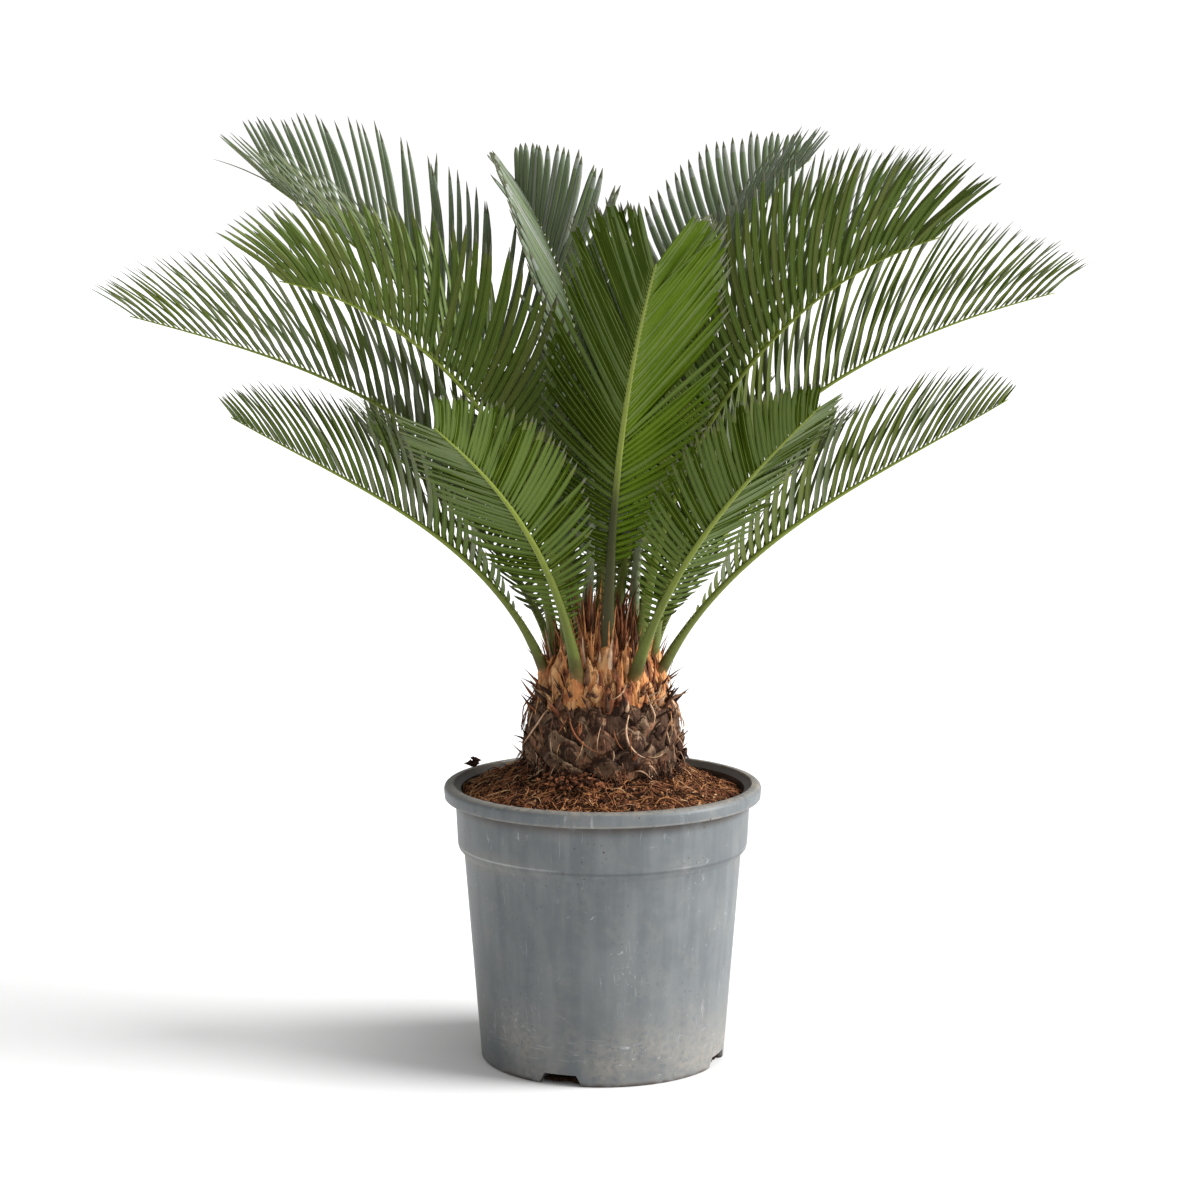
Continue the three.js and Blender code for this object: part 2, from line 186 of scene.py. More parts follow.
class Painter:
    """Builds the nodes of one material, or of the surround."""

    def __init__(self, owner: bpy.types.Material | bpy.types.World) -> None:
        """Starts with no nodes.

        Args:
            owner: the material or the surround whose nodes are built.
        """
        owner.use_nodes = True
        self.owner = owner
        self.tree = owner.node_tree
        self.tree.nodes.clear()

    def node(
        self, kind: str, settings: Values | None = None, inputs: Values | None = None
    ) -> bpy.types.Node:
        """Adds one node: first its settings, then its inputs.

        Args:
            kind: the node's type, such as "ShaderNodeTexNoise".
            settings: the node's own properties.
            inputs: a value or a Wire for each socket, by name or number.

        Returns:
            The new node.
        """
        made = self.tree.nodes.new(kind)
        for key, value in (settings or {}).items():
            setattr(made, key, value)
        for key, value in (inputs or {}).items():
            if isinstance(value, Wire):
                self.tree.links.new(value.socket, made.inputs[key])
            else:
                made.inputs[key].default_value = value
        return made

    def wire(
        self, kind: str, settings: Values | None = None, inputs: Values | None = None, output: int | str = 0
    ) -> Wire:
        """Adds one node and wraps one of its outputs."""
        return Wire(self, self.node(kind, settings, inputs).outputs[output])

    @cached_property
    def place(self) -> Wire:
        """The point's place on the plant, in metres."""
        return self.wire("ShaderNodeTexCoord", output="Object")

    @cached_property
    def height(self) -> Wire:
        """The point's height above the ground."""
        return self.wire("ShaderNodeSeparateXYZ", None, {0: self.place}, "Z")

    def stretched(self, *axes: float) -> Wire:
        """The place with each axis multiplied by its own number."""
        return self.wire("ShaderNodeVectorMath", {"operation": "MULTIPLY"}, {0: self.place, 1: axes})

    def noise(self, scale: float, detail: float, warp: float = 0.0, axes: Colour | None = None) -> Wire:
        """Soft noise.

        Args:
            scale: lumps to the metre.
            detail: how many finer layers it has.
            warp: how far it is distorted.
            axes: what the place's axes are multiplied by first.

        Returns:
            The noise, from 0 to 1 with a mean of about 0.5.
        """
        place = self.stretched(*axes) if axes else self.place
        inputs = {"Vector": place, "Scale": scale, "Detail": detail, "Distortion": warp}
        return self.wire("ShaderNodeTexNoise", None, inputs, "Fac")

    def cells(self, scale: float) -> Wire:
        """The distance to the nearest of a field of scattered points."""
        return self.wire("ShaderNodeTexVoronoi", None, {"Vector": self.place, "Scale": scale}, "Distance")

    def mix(self, factor: Wire | float, low: Wire | Colour, high: Wire | Colour) -> Wire:
        """The colour that lies a factor of the way from low to high."""
        ends = [end if isinstance(end, Wire) else (*end, 1.0) for end in (low, high)]
        return self.wire("ShaderNodeMix", {"data_type": "RGBA"}, {0: factor, 6: ends[0], 7: ends[1]}, 2)

    def bump(self, height: Wire, strength: float, distance: float) -> Wire:
        """A normal that shows a height pattern as relief."""
        inputs = {"Height": height, "Strength": strength, "Distance": distance}
        return self.wire("ShaderNodeBump", None, inputs)

    def finish(
        self, colour: Wire, roughness: Wire | float, specular: float, others: Values
    ) -> bpy.types.Material:
        """Ends the material with a Principled shader.

        Args:
            colour: its base colour.
            roughness: its roughness.
            specular: its specular level.
            others: its further sockets, by name.

        Returns:
            The finished material.
        """
        inputs = {"Base Color": colour, "Roughness": roughness, "Specular IOR Level": specular}
        shader = self.wire("ShaderNodeBsdfPrincipled", None, {**inputs, **others})
        self.node("ShaderNodeOutputMaterial", None, {"Surface": shader})
        return self.owner


@dataclass(frozen=True)
class LeafFinish:
    """One green of leathery leaf, with faint blotches and fine lengthwise grain."""

    name: str
    colour: Colour
    blotch: Colour
    roughness: float = 0.48
    specular: float = 0.2

    def material(self) -> bpy.types.Material:
        """Makes the leaf material.

        Returns:
            The material.
        """
        paint = Painter(bpy.data.materials.new(self.name))
        colour = paint.mix(paint.noise(42, 4).rise(0.32, 0.7), self.colour, self.blotch)
        gloss = self.roughness - 0.08 + paint.noise(160, 2) * 0.16
        grain = paint.bump(paint.noise(1100, 2), 0.12, 0.0004)
        return paint.finish(colour, gloss, self.specular, {"Normal": grain})


@dataclass(frozen=True)
class StalkFinish:
    """A frond's stalk: dry tan at the foot, olive, then green, and yellow-green along the rib."""

    name: str
    olive: Colour
    green: Colour
    lime: Colour
    green_height: float = 0.318
    lime_height: float = 0.430
    foot: Colour = (0.30, 0.145, 0.055)
    foot_height: float = 0.290

    def material(self) -> bpy.types.Material:
        """Makes the stalk material, which changes with height.

        Returns:
            The material.
        """
        paint = Painter(bpy.data.materials.new(self.name))
        patches = paint.noise(70, 4)
        height = paint.height + (patches - 0.5) * 0.03
        dry = paint.mix(height.rise(self.foot_height, self.foot_height + 0.014), self.foot, self.olive)
        green = paint.mix(height.rise(self.foot_height + 0.012, self.green_height), dry, self.green)
        colour = paint.mix(height.rise(self.green_height, self.lime_height), green, self.lime)
        grain = paint.noise(1, 3, axes=(900, 900, 90))
        shaded = paint.mix(grain.rise(0.45, 0.75) * 0.3, colour, self.olive)
        return paint.finish(shaded, 0.42 + patches * 0.2, 0.2, {"Normal": paint.bump(grain, 0.25, 0.0006)})


@dataclass(frozen=True)
class DryFinish:
    """A dry, fibrous plant part with a lengthwise grain, dark weathered patches and cracks."""

    name: str
    colour: Colour
    grain_colour: Colour
    weathered: Colour
    weathering: float = 0.5
    cracks: float = 0.0
    crack_colour: Colour = (0.045, 0.018, 0.011)
    roughness: float = 0.85
    relief: float = 0.5

    def material(self) -> bpy.types.Material:
        """Makes the dry material; its grain runs upward.

        Returns:
            The material.
        """
        paint = Painter(bpy.data.materials.new(self.name))
        grain = paint.noise(620, 4, 0.4, axes=(1, 1, 0.14))
        patches = paint.noise(95, 4)
        clean = paint.mix(grain.rise(0.38, 0.66), self.colour, self.grain_colour)
        weather = patches.rise(0.66 - self.weathering * 0.3, 0.74 - self.weathering * 0.16)
        worn = paint.mix(weather * self.weathering, clean, self.weathered)
        split = paint.noise(300, 4, 1.5, axes=(1, 1, 0.35)).rise(0.58, 0.64)
        colour = paint.mix(split * self.cracks, worn, self.crack_colour)
        relief = paint.bump(grain + patches * 0.6, self.relief, 0.0018)
        return paint.finish(colour, self.roughness - 0.1 + grain * 0.2, 0.1, {"Normal": relief})


@dataclass(frozen=True)
class PeatFinish:
    """Coir and peat: dark moist brown flecked with reddish fibre."""

    name: str = "peat"
    dark: Colour = (0.020, 0.009, 0.005)
    brown: Colour = (0.120, 0.043, 0.019)
    fibre: Colour = (0.27, 0.105, 0.042)

    def material(self) -> bpy.types.Material:
        """Makes the peat material.

        Returns:
            The material.
        """
        paint = Painter(bpy.data.materials.new(self.name))
        lumps = paint.noise(130, 5, 0.6)
        threads = paint.noise(420, 4, 2.2)
        earth = paint.mix(lumps.rise(0.38, 0.64), self.dark, self.brown)
        colour = paint.mix(threads.rise(0.56, 0.68), earth, self.fibre)
        relief = paint.bump(lumps + threads * 0.5, 0.9, 0.003)
        return paint.finish(colour, 0.82 + lumps * 0.16, 0.1, {"Normal": relief})


@dataclass(frozen=True)
class PlasticFinish:
    """The pot's matte grey-blue plastic: chalky scuffs, dust at the foot, specks of dried soil, painted
    shade under the collar's step and along the bottom edge, and a painted highlight on the step's edge.
    """

    name: str = "nursery_plastic"
    grey: Colour = (0.104, 0.116, 0.123)
    pale: Colour = (0.148, 0.160, 0.165)
    dust: Colour = (0.27, 0.245, 0.21)
    # Chalky scuffs, and the painted highlight line on the collar's edge.
    chalk_and_highlight: Colour = (0.62, 0.64, 0.64)
    # The colour of the soil specks and the soiled lip, and of the painted shade along the pot's bottom edge.
    dirt_and_shade: Colour = (0.045, 0.028, 0.018)
    # The dark of the painted shade under the collar's step.
    step_shade: Colour = (0.050, 0.055, 0.058)
    foot: float = 0.075
    collar: float = 0.1615
    # Height of the painted highlight line at the collar's foot.
    line: float = 0.1652
    rim: float = 0.211
    band: float = 0.2003
    lip: float = 0.1135

    def material(self) -> bpy.types.Material:
        """Makes the worn plastic: a painted shade line under the step, a painted highlight line on its edge
        and a soiled lip.

        Returns:
            The material.
        """
        paint = Painter(bpy.data.materials.new(self.name))
        clouds = paint.noise(17, 5, 0.3)
        runs = paint.noise(95, 4, axes=(1, 1, 0.07))
        mottle = paint.noise(85, 6, 0.8)
        base = paint.mix((clouds * 0.4 + runs * 0.45 + mottle * 0.15).rise(0.38, 0.62), self.grey, self.pale)
        dust = self._dust(paint, clouds)
        scuffs = self._scuffs(paint)
        chalked = paint.mix(scuffs, paint.mix(dust, base, self.dust), self.chalk_and_highlight)
        # Painted shade: a dark band just under the collar's step, broken up by the clouds.
        under = paint.height.between(self.collar, 0, 0.0016, 0.0024, 0.0036)
        shaded = paint.mix(under * clouds.rise(0.62, 0.42) * 0.45, chalked, self.step_shade)
        # Painted highlight: a pale line along the edge at the collar's foot.
        edge = paint.height.between(self.line, -0.0009, 0, 0.0003, 0.0013)
        edge_highlit = paint.mix(edge * clouds.rise(0.42, 0.62) * 0.30, shaded, self.chalk_and_highlight)
        reach = paint.stretched(1, 1, 0).length() + mottle * 0.004
        soiled = reach.rise(self.lip + 0.002, self.lip) * paint.height.rise(0.19, 0.20) * 0.85
        colour = paint.mix(self._specks_and_shade(paint) + soiled, edge_highlit, self.dirt_and_shade)
        relief = paint.noise(1500, 2) * 0.5 + runs * 0.3 + mottle * 0.4 + scuffs * 0.3
        roughness = 0.47 + dust * 0.25 + scuffs * 0.15
        return paint.finish(colour, roughness, 0.4, {"Normal": paint.bump(relief, 0.16, 0.0006)})

    def _dust(self, paint: Painter, clouds: Wire) -> Wire:
        """Pale warm dust.

        Args:
            paint: the plastic's painter.
            clouds: the large soft pattern that breaks it up.

        Returns:
            Its share, which grows towards the foot and on the collar's step and the rim.
        """
        height = paint.height
        blots = paint.noise(48, 4, 0.5).rise(0.52, 0.66)
        foot = height.rise(self.foot, -0.01) * clouds.rise(0.3, 0.6)
        step = height.between(self.collar, -0.014, 0, 0.004, 0.016)
        crown = height.rise(self.rim - 0.006, self.rim)
        lip = height.rise(self.rim - 0.0022, self.rim - 0.0006) * 0.75
        band = height.between(self.band, -0.0009, 0, 0.0006, 0.0018) * 0.45
        spread_out = foot * 0.78 + step * clouds.rise(0.4, 0.7) * 0.45
        spread_out = spread_out + crown * blots * 0.45 + blots * 0.14 + lip + band
        return spread_out * paint.noise(240, 4).rise(0.2, 0.62)

    @staticmethod
    def _scuffs(paint: Painter) -> Wire:
        """Wear that shows chalky.

        Args:
            paint: the plastic's painter.

        Returns:
            The share of short upright scratches in patches, level ones round the foot, smears and flecks.
        """
        upright = paint.noise(330, 4, 0.4, axes=(1, 1, 0.12)).rise(0.62, 0.74)
        patches = paint.noise(21, 2).rise(0.46, 0.62)
        level = paint.noise(480, 4, 0.6, axes=(0.12, 0.12, 1)).rise(0.58, 0.72)
        low = paint.height.between(0, 0.012, 0.022, 0.030, 0.042)
        smears = paint.noise(170, 6, 1.6).rise(0.60, 0.74) * paint.noise(30, 3).rise(0.50, 0.64)
        flecks = paint.cells(240).rise(0.14, 0.06) * paint.noise(18, 2).rise(0.5, 0.6)
        return upright * patches * 0.20 + level * low * 0.18 + smears * 0.32 + flecks * 0.22

    def _specks_and_shade(self, paint: Painter) -> Wire:
        """Dried soil on the plastic, and a painted shade along its bottom edge.

        Args:
            paint: the plastic's painter.

        Returns:
            The share of scattered crumbs, more of them by the collar and the foot, and of a painted shade
            along the bottom edge.
        """
        near = paint.cells(190).rise(0.20, 0.10) * paint.noise(26, 2).rise(0.52, 0.62)
        bands = paint.height.rise(0.030, 0.004) + paint.height.rise(self.collar - 0.012, self.collar + 0.006)
        # Painted shade: a dark line along the pot's bottom edge, where it stands on the floor.
        foot_shade = paint.height.rise(0.0042, 0.0005) * paint.noise(120, 3).rise(0.3, 0.6)
        return near * (0.30 + bands * 0.6) + foot_shade * 0.85


class Tone(Enum):
    """Finishes by name, each with a number: its place in the list of its class's materials."""

    @property
    def number(self) -> int:
        """This finish's place."""
        return list(type(self)).index(self)

    @classmethod
    def materials(cls) -> list[bpy.types.Material]:
        """Makes the material of every finish, in order."""
        return [tone.value.material() for tone in cls]


def numbers(tones: Sequence[Tone]) -> np.ndarray:
    """The numbers of several finishes."""
    return np.array([tone.number for tone in tones])


def one_of(rng: Random, tones: Sequence[Tone]) -> int:
    """The number of one of some finishes, drawn evenly."""
    return tones[int(rng.integers(len(tones)))].number


def by_odds(rng: Random, odds: Mapping[Tone, float]) -> int:
    """The number of a finish, drawn by its odds."""
    return rng.choice(list(odds), p=list(odds.values())).number


class Coir(Tone):
    """The browns of crumbs and of fibres on the soil."""

    DARK = DryFinish("coir_dark", (0.022, 0.010, 0.006), (0.045, 0.020, 0.010), (0.012, 0.007, 0.005))
    RED = DryFinish("coir_red", (0.175, 0.066, 0.031), (0.26, 0.103, 0.050), (0.07, 0.030, 0.016))
    ORANGE = DryFinish("coir_orange", (0.31, 0.130, 0.052), (0.42, 0.20, 0.085), (0.12, 0.05, 0.022))
    STRAW = DryFinish("coir_straw", (0.46, 0.27, 0.14), (0.60, 0.38, 0.21), (0.24, 0.13, 0.065))


class Bark(Tone):
    """The finishes of the trunk and of the fronds' dry bases."""

    DARK = DryFinish(
        "bark_dark", (0.050, 0.026, 0.016), (0.092, 0.051, 0.031), (0.020, 0.010, 0.007), 0.8, 0.7,
    )
    GREY = DryFinish(
        "bark_grey", (0.130, 0.082, 0.050), (0.260, 0.172, 0.108), (0.060, 0.032, 0.020), 0.8, 0.7,
    )
    BROWN = DryFinish(
        "bark_brown", (0.150, 0.072, 0.040), (0.270, 0.140, 0.080), (0.055, 0.024, 0.015), 0.8, 0.8,
    )
    TAN = DryFinish(
        "base_tan", (0.540, 0.270, 0.108), (0.620, 0.360, 0.175), (0.330, 0.110, 0.042), 0.6, 0.7,
    )
    ORANGE = DryFinish(
        "base_orange", (0.480, 0.190, 0.066), (0.580, 0.275, 0.110), (0.210, 0.060, 0.026), 0.7, 0.8,
    )
    RED = DryFinish(
        "spike_red", (0.200, 0.068, 0.030), (0.330, 0.130, 0.062), (0.080, 0.026, 0.014), 0.6, 0.5,
    )
    STRAW = DryFinish(
        "spike_straw", (0.500, 0.310, 0.190), (0.640, 0.440, 0.290), (0.300, 0.150, 0.085), 0.4, 0.3,
    )


class LeafTone(Tone):
    """The greens of a leaflet's faces."""

    # Deep green: a random tone on some inner leaflets, and the painted shade of the front frond's shaded
    # row.
    DEEP = LeafFinish("leaf_deep", (0.027, 0.048, 0.001), (0.038, 0.062, 0.002), 0.6, 0.03)
    GREEN = LeafFinish("leaf_green", (0.056, 0.092, 0.007), (0.072, 0.112, 0.010))
    # Painted light: a lighter copy of the deep green for the front frond's sunlit row.
    BRIGHT = LeafFinish("leaf_bright", (0.044, 0.080, 0.001), (0.064, 0.106, 0.003), 0.6, 0.04)
    OLIVE = LeafFinish("leaf_olive", (0.078, 0.102, 0.014), (0.096, 0.120, 0.020))
    # Painted sheen: pale grey-greens that stand in for the glossy leaflets' reflection of the white
    # surround.
    SLATE = LeafFinish("leaf_slate", (0.120, 0.160, 0.088), (0.150, 0.185, 0.118), 0.42, 0.35)
    DUSK = LeafFinish("leaf_dusk", (0.098, 0.122, 0.050), (0.124, 0.146, 0.074), 0.42, 0.35)
    MIST = LeafFinish("leaf_mist", (0.185, 0.210, 0.160), (0.225, 0.245, 0.200), 0.40, 0.4)
    # Ridge green: partly the midrib's own paler green, partly a painted highlight along the fold.
    RIDGE = LeafFinish("leaf_ridge", (0.108, 0.150, 0.022), (0.088, 0.128, 0.018))
    FOOT = LeafFinish("leaf_foot", (0.150, 0.200, 0.020), (0.120, 0.170, 0.018))
    TIP = LeafFinish("leaf_tip", (0.078, 0.092, 0.042), (0.100, 0.104, 0.060), 0.6)


class Stalk(Tone):
    """The finishes of stalks and ribs."""

    LIME = StalkFinish("stalk_lime", (0.072, 0.064, 0.014), (0.110, 0.135, 0.026), (0.190, 0.240, 0.036))
    # A darker stalk: painted shade for the front frond's stalk.
    OLIVE = StalkFinish(
        "stalk_olive", (0.046, 0.040, 0.012), (0.040, 0.046, 0.011), (0.175, 0.215, 0.036), 0.42, 0.475,
    )
    # Painted sheen: a pale stalk and rib for the back fronds.
    PALE = StalkFinish("stalk_pale", (0.10, 0.095, 0.04), (0.16, 0.19, 0.09), (0.34, 0.40, 0.24))


@dataclass(frozen=True)
class Dress:
    """The finishes of one frond.

    plus is the row on the anticlockwise side, seen from above, and minus is the other one. Some leaflets
    of each row are of the other green, and every leaflet ends in the outer one. The leaflets nearest the
    trunk are inner times as wide.
    """

    plus: LeafTone
    minus: LeafTone
    other: LeafTone
    outer: LeafTone
    turned: float
    width: float
    stalk: Stalk = Stalk.LIME
    inner: float = 1.0


class Look(Enum):
    """The kinds of frond, by their greens and by how far their leaflets' faces turn upward."""

    # The front frond: its plus row in the painted lit green and its minus row in the deep green as painted
    # shade, for light from the right.
    SUNNY = Dress(LeafTone.BRIGHT, LeafTone.DEEP, LeafTone.GREEN, LeafTone.GREEN, 0.35, 0.0068, Stalk.OLIVE)
    INNER = Dress(LeafTone.GREEN, LeafTone.GREEN, LeafTone.DEEP, LeafTone.OLIVE, 0.15, 0.0056)
    LATTICE = Dress(LeafTone.GREEN, LeafTone.GREEN, LeafTone.OLIVE, LeafTone.OLIVE, 0.15, 0.0044, inner=1.75)
    # SIDE, HAZY and PALE fronds use the painted-sheen greys: SIDE on some leaflets and at every leaflet's
    # end, HAZY and PALE on all of their leaflets.
    SIDE = Dress(LeafTone.GREEN, LeafTone.OLIVE, LeafTone.DUSK, LeafTone.DUSK, 0.62, 0.0047, inner=1.3)
    HAZY = Dress(LeafTone.DUSK, LeafTone.SLATE, LeafTone.SLATE, LeafTone.SLATE, 0.62, 0.0046, inner=1.1)
    PALE = Dress(LeafTone.SLATE, LeafTone.SLATE, LeafTone.MIST, LeafTone.MIST, 0.70, 0.0068, Stalk.PALE)


class Finishes:
    """Every material of the plant, made once."""

    def __init__(self) -> None:
        """Makes the materials."""
        self.plastic = PlasticFinish().material()
        self.peat = PeatFinish().material()
        self.stalks = Stalk.materials()
        self.coir = Coir.materials()
        self.barks = Bark.materials()
        self.leaves = LeafTone.materials()


# ---------------------------------------------------------------- meshes


class Pile:
    """Skins and lumps that are gathered into one joined mesh."""

    def __init__(self) -> None:
        """Starts with nothing."""
        self.points: list[np.ndarray] = []
        self.faces: list[list[int]] = []
        self.tones: list[int] = []
        self.count = 0

    def skin(self, rings: np.ndarray, tones: int | np.ndarray) -> None:
        """Adds a tube through closed rings, with both its ends closed.

        Args:
            rings: the points by ring, by place on the ring, by axis.
            tones: the material's number, or one for each band and place on it.
        """
        bands, around = rings.shape[0] - 1, rings.shape[1]
        start = self.count + np.arange(bands)[:, None] * around
        here = np.arange(around)[None, :]
        after = (here + 1) % around
        above = start + around
        quads = np.stack([start + here, start + after, above + after, above + here], axis=-1)
        self.faces.extend(quads.reshape(-1, 4).tolist())
        self.tones.extend(np.broadcast_to(tones, (bands, around)).reshape(-1).tolist())
        self.faces.append(list(range(self.count + around - 1, self.count - 1, -1)))
        self.faces.append(list(range(self.count + bands * around, self.count + (bands + 1) * around)))
        self.tones.extend([self.tones[-bands * around], self.tones[-1]])
        self.points.append(rings.reshape(-1, 3))
        self.count += rings.shape[0] * around

    def lump(self, points: np.ndarray, faces: Sequence[Sequence[int]], tone: int) -> None:
        """Adds one closed lump of one material.

        Args:
            points: its corners.
            faces: the numbers of each face's corners.
            tone: the material's number.
        """
        self.faces.extend([[self.count + i for i in face] for face in faces])
        self.tones.extend([tone] * len(faces))
        self.points.append(points)
        self.count += len(points)

    def made(
        self, name: str, materials: Sequence[bpy.types.Material], smooth: bool = True
    ) -> bpy.types.Object:
        """Joins the pile into one object.

        Args:
            name: the object's name.
            materials: its material slots, in the order of the tones' numbers.
            smooth: whether its faces are shaded smoothly.

        Returns:
            The object, linked to the scene.
        """
        mesh = bpy.data.meshes.new(name)
        mesh.from_pydata(np.concatenate(self.points), [], self.faces)
        for material in materials:
            mesh.materials.append(material)
        mesh.polygons.foreach_set("material_index", self.tones)
        mesh.polygons.foreach_set("use_smooth", [smooth] * len(mesh.polygons))
        mesh.update()
        made = bpy.data.objects.new(name, mesh)
        bpy.context.scene.collection.objects.link(made)
        return made


def section(across: Sequence[float], fold: float, ridge: float = 0.0) -> np.ndarray:
    """The cross-section of a blade, as a closed ring.

    Args:
        across: where its points lie, from -1 at one edge to 1 at the other.
        fold: how far the edges hang below the middle, as a share of half the width.
        ridge: extra depth under the middle, in thicknesses.

    Returns:
        Rows of (across, hang, depth): shares of half the width, of half the width and of half the thickness.
    """
    above = [(c, math.sqrt(1 - c * c)) for c in across]
    below = [(c, -math.sqrt(1 - c * c) - ridge * (1 - abs(c)) ** 3) for c in across[-2:0:-1]]
    return np.array([(c, -fold * abs(c) ** 1.4, depth) for c, depth in above + below])


def blade(
    centre: np.ndarray, face: np.ndarray, width: np.ndarray, thickness: np.ndarray, shape: np.ndarray
) -> np.ndarray:
    """The rings of a long flat piece.

    Args:
        centre: the points of its middle line.
        face: the direction that its upper side faces, all along or at each point.
        width: full width at each point.
        thickness: full thickness at each point.
        shape: its cross-section, from section().

    Returns:
        The rings, for Pile.skin.
    """
    heading = unit(np.gradient(centre, axis=0))
    broad = unit(np.cross(heading, face))
    up = np.cross(broad, heading)
    half = width[:, None, None] / 2
    deep = thickness[:, None, None] / 2
    sideways = shape[None, :, 0:1] * broad[:, None, :] * half
    upward = (shape[None, :, 1:2] * half + shape[None, :, 2:3] * deep) * up[:, None, :]
    return centre[:, None, :] + sideways + upward


def strand(centre: np.ndarray, radius: np.ndarray, sides: int) -> np.ndarray:
    """The rings of a round strand.

    Args:
        centre: the points of its middle line.
        radius: its radius at each point.
        sides: points on each ring.

    Returns:
        The rings, for Pile.skin.
    """
    heading = unit(np.gradient(centre, axis=0))
    aside = unit(np.cross(heading, np.array([0.31, 0.52, 0.79])))
    other = np.cross(heading, aside)
    turn = round_turn(sides)
    ring = np.cos(turn)[None, :, None] * aside[:, None, :] + np.sin(turn)[None, :, None] * other[:, None, :]
    return centre[:, None, :] + ring * radius[:, None, None]


def lathe(profile: Profile, sides: int) -> np.ndarray:
    """The rings of a profile turned about the Z axis."""
    ring = np.stack([np.cos(round_turn(sides)), np.sin(round_turn(sides)), np.zeros(sides)], axis=-1)
    return np.array([ring * radius + UP * height for height, radius in profile])


def fit(piece: bpy.types.Object, slot: str, *nodes: str) -> None:
    """Fixes a piece to the plant and reports it.

    Args:
        piece: the piece.
        slot: the record's finish slot of the piece; not used.
        nodes: the nodes that it stands for, if any.
    """
    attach(piece, "root")
    if nodes:
        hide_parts(*nodes)
    LOG.info("%s: %d faces", piece.name, len(piece.data.polygons))


# ---------------------------------------------------------------- pot


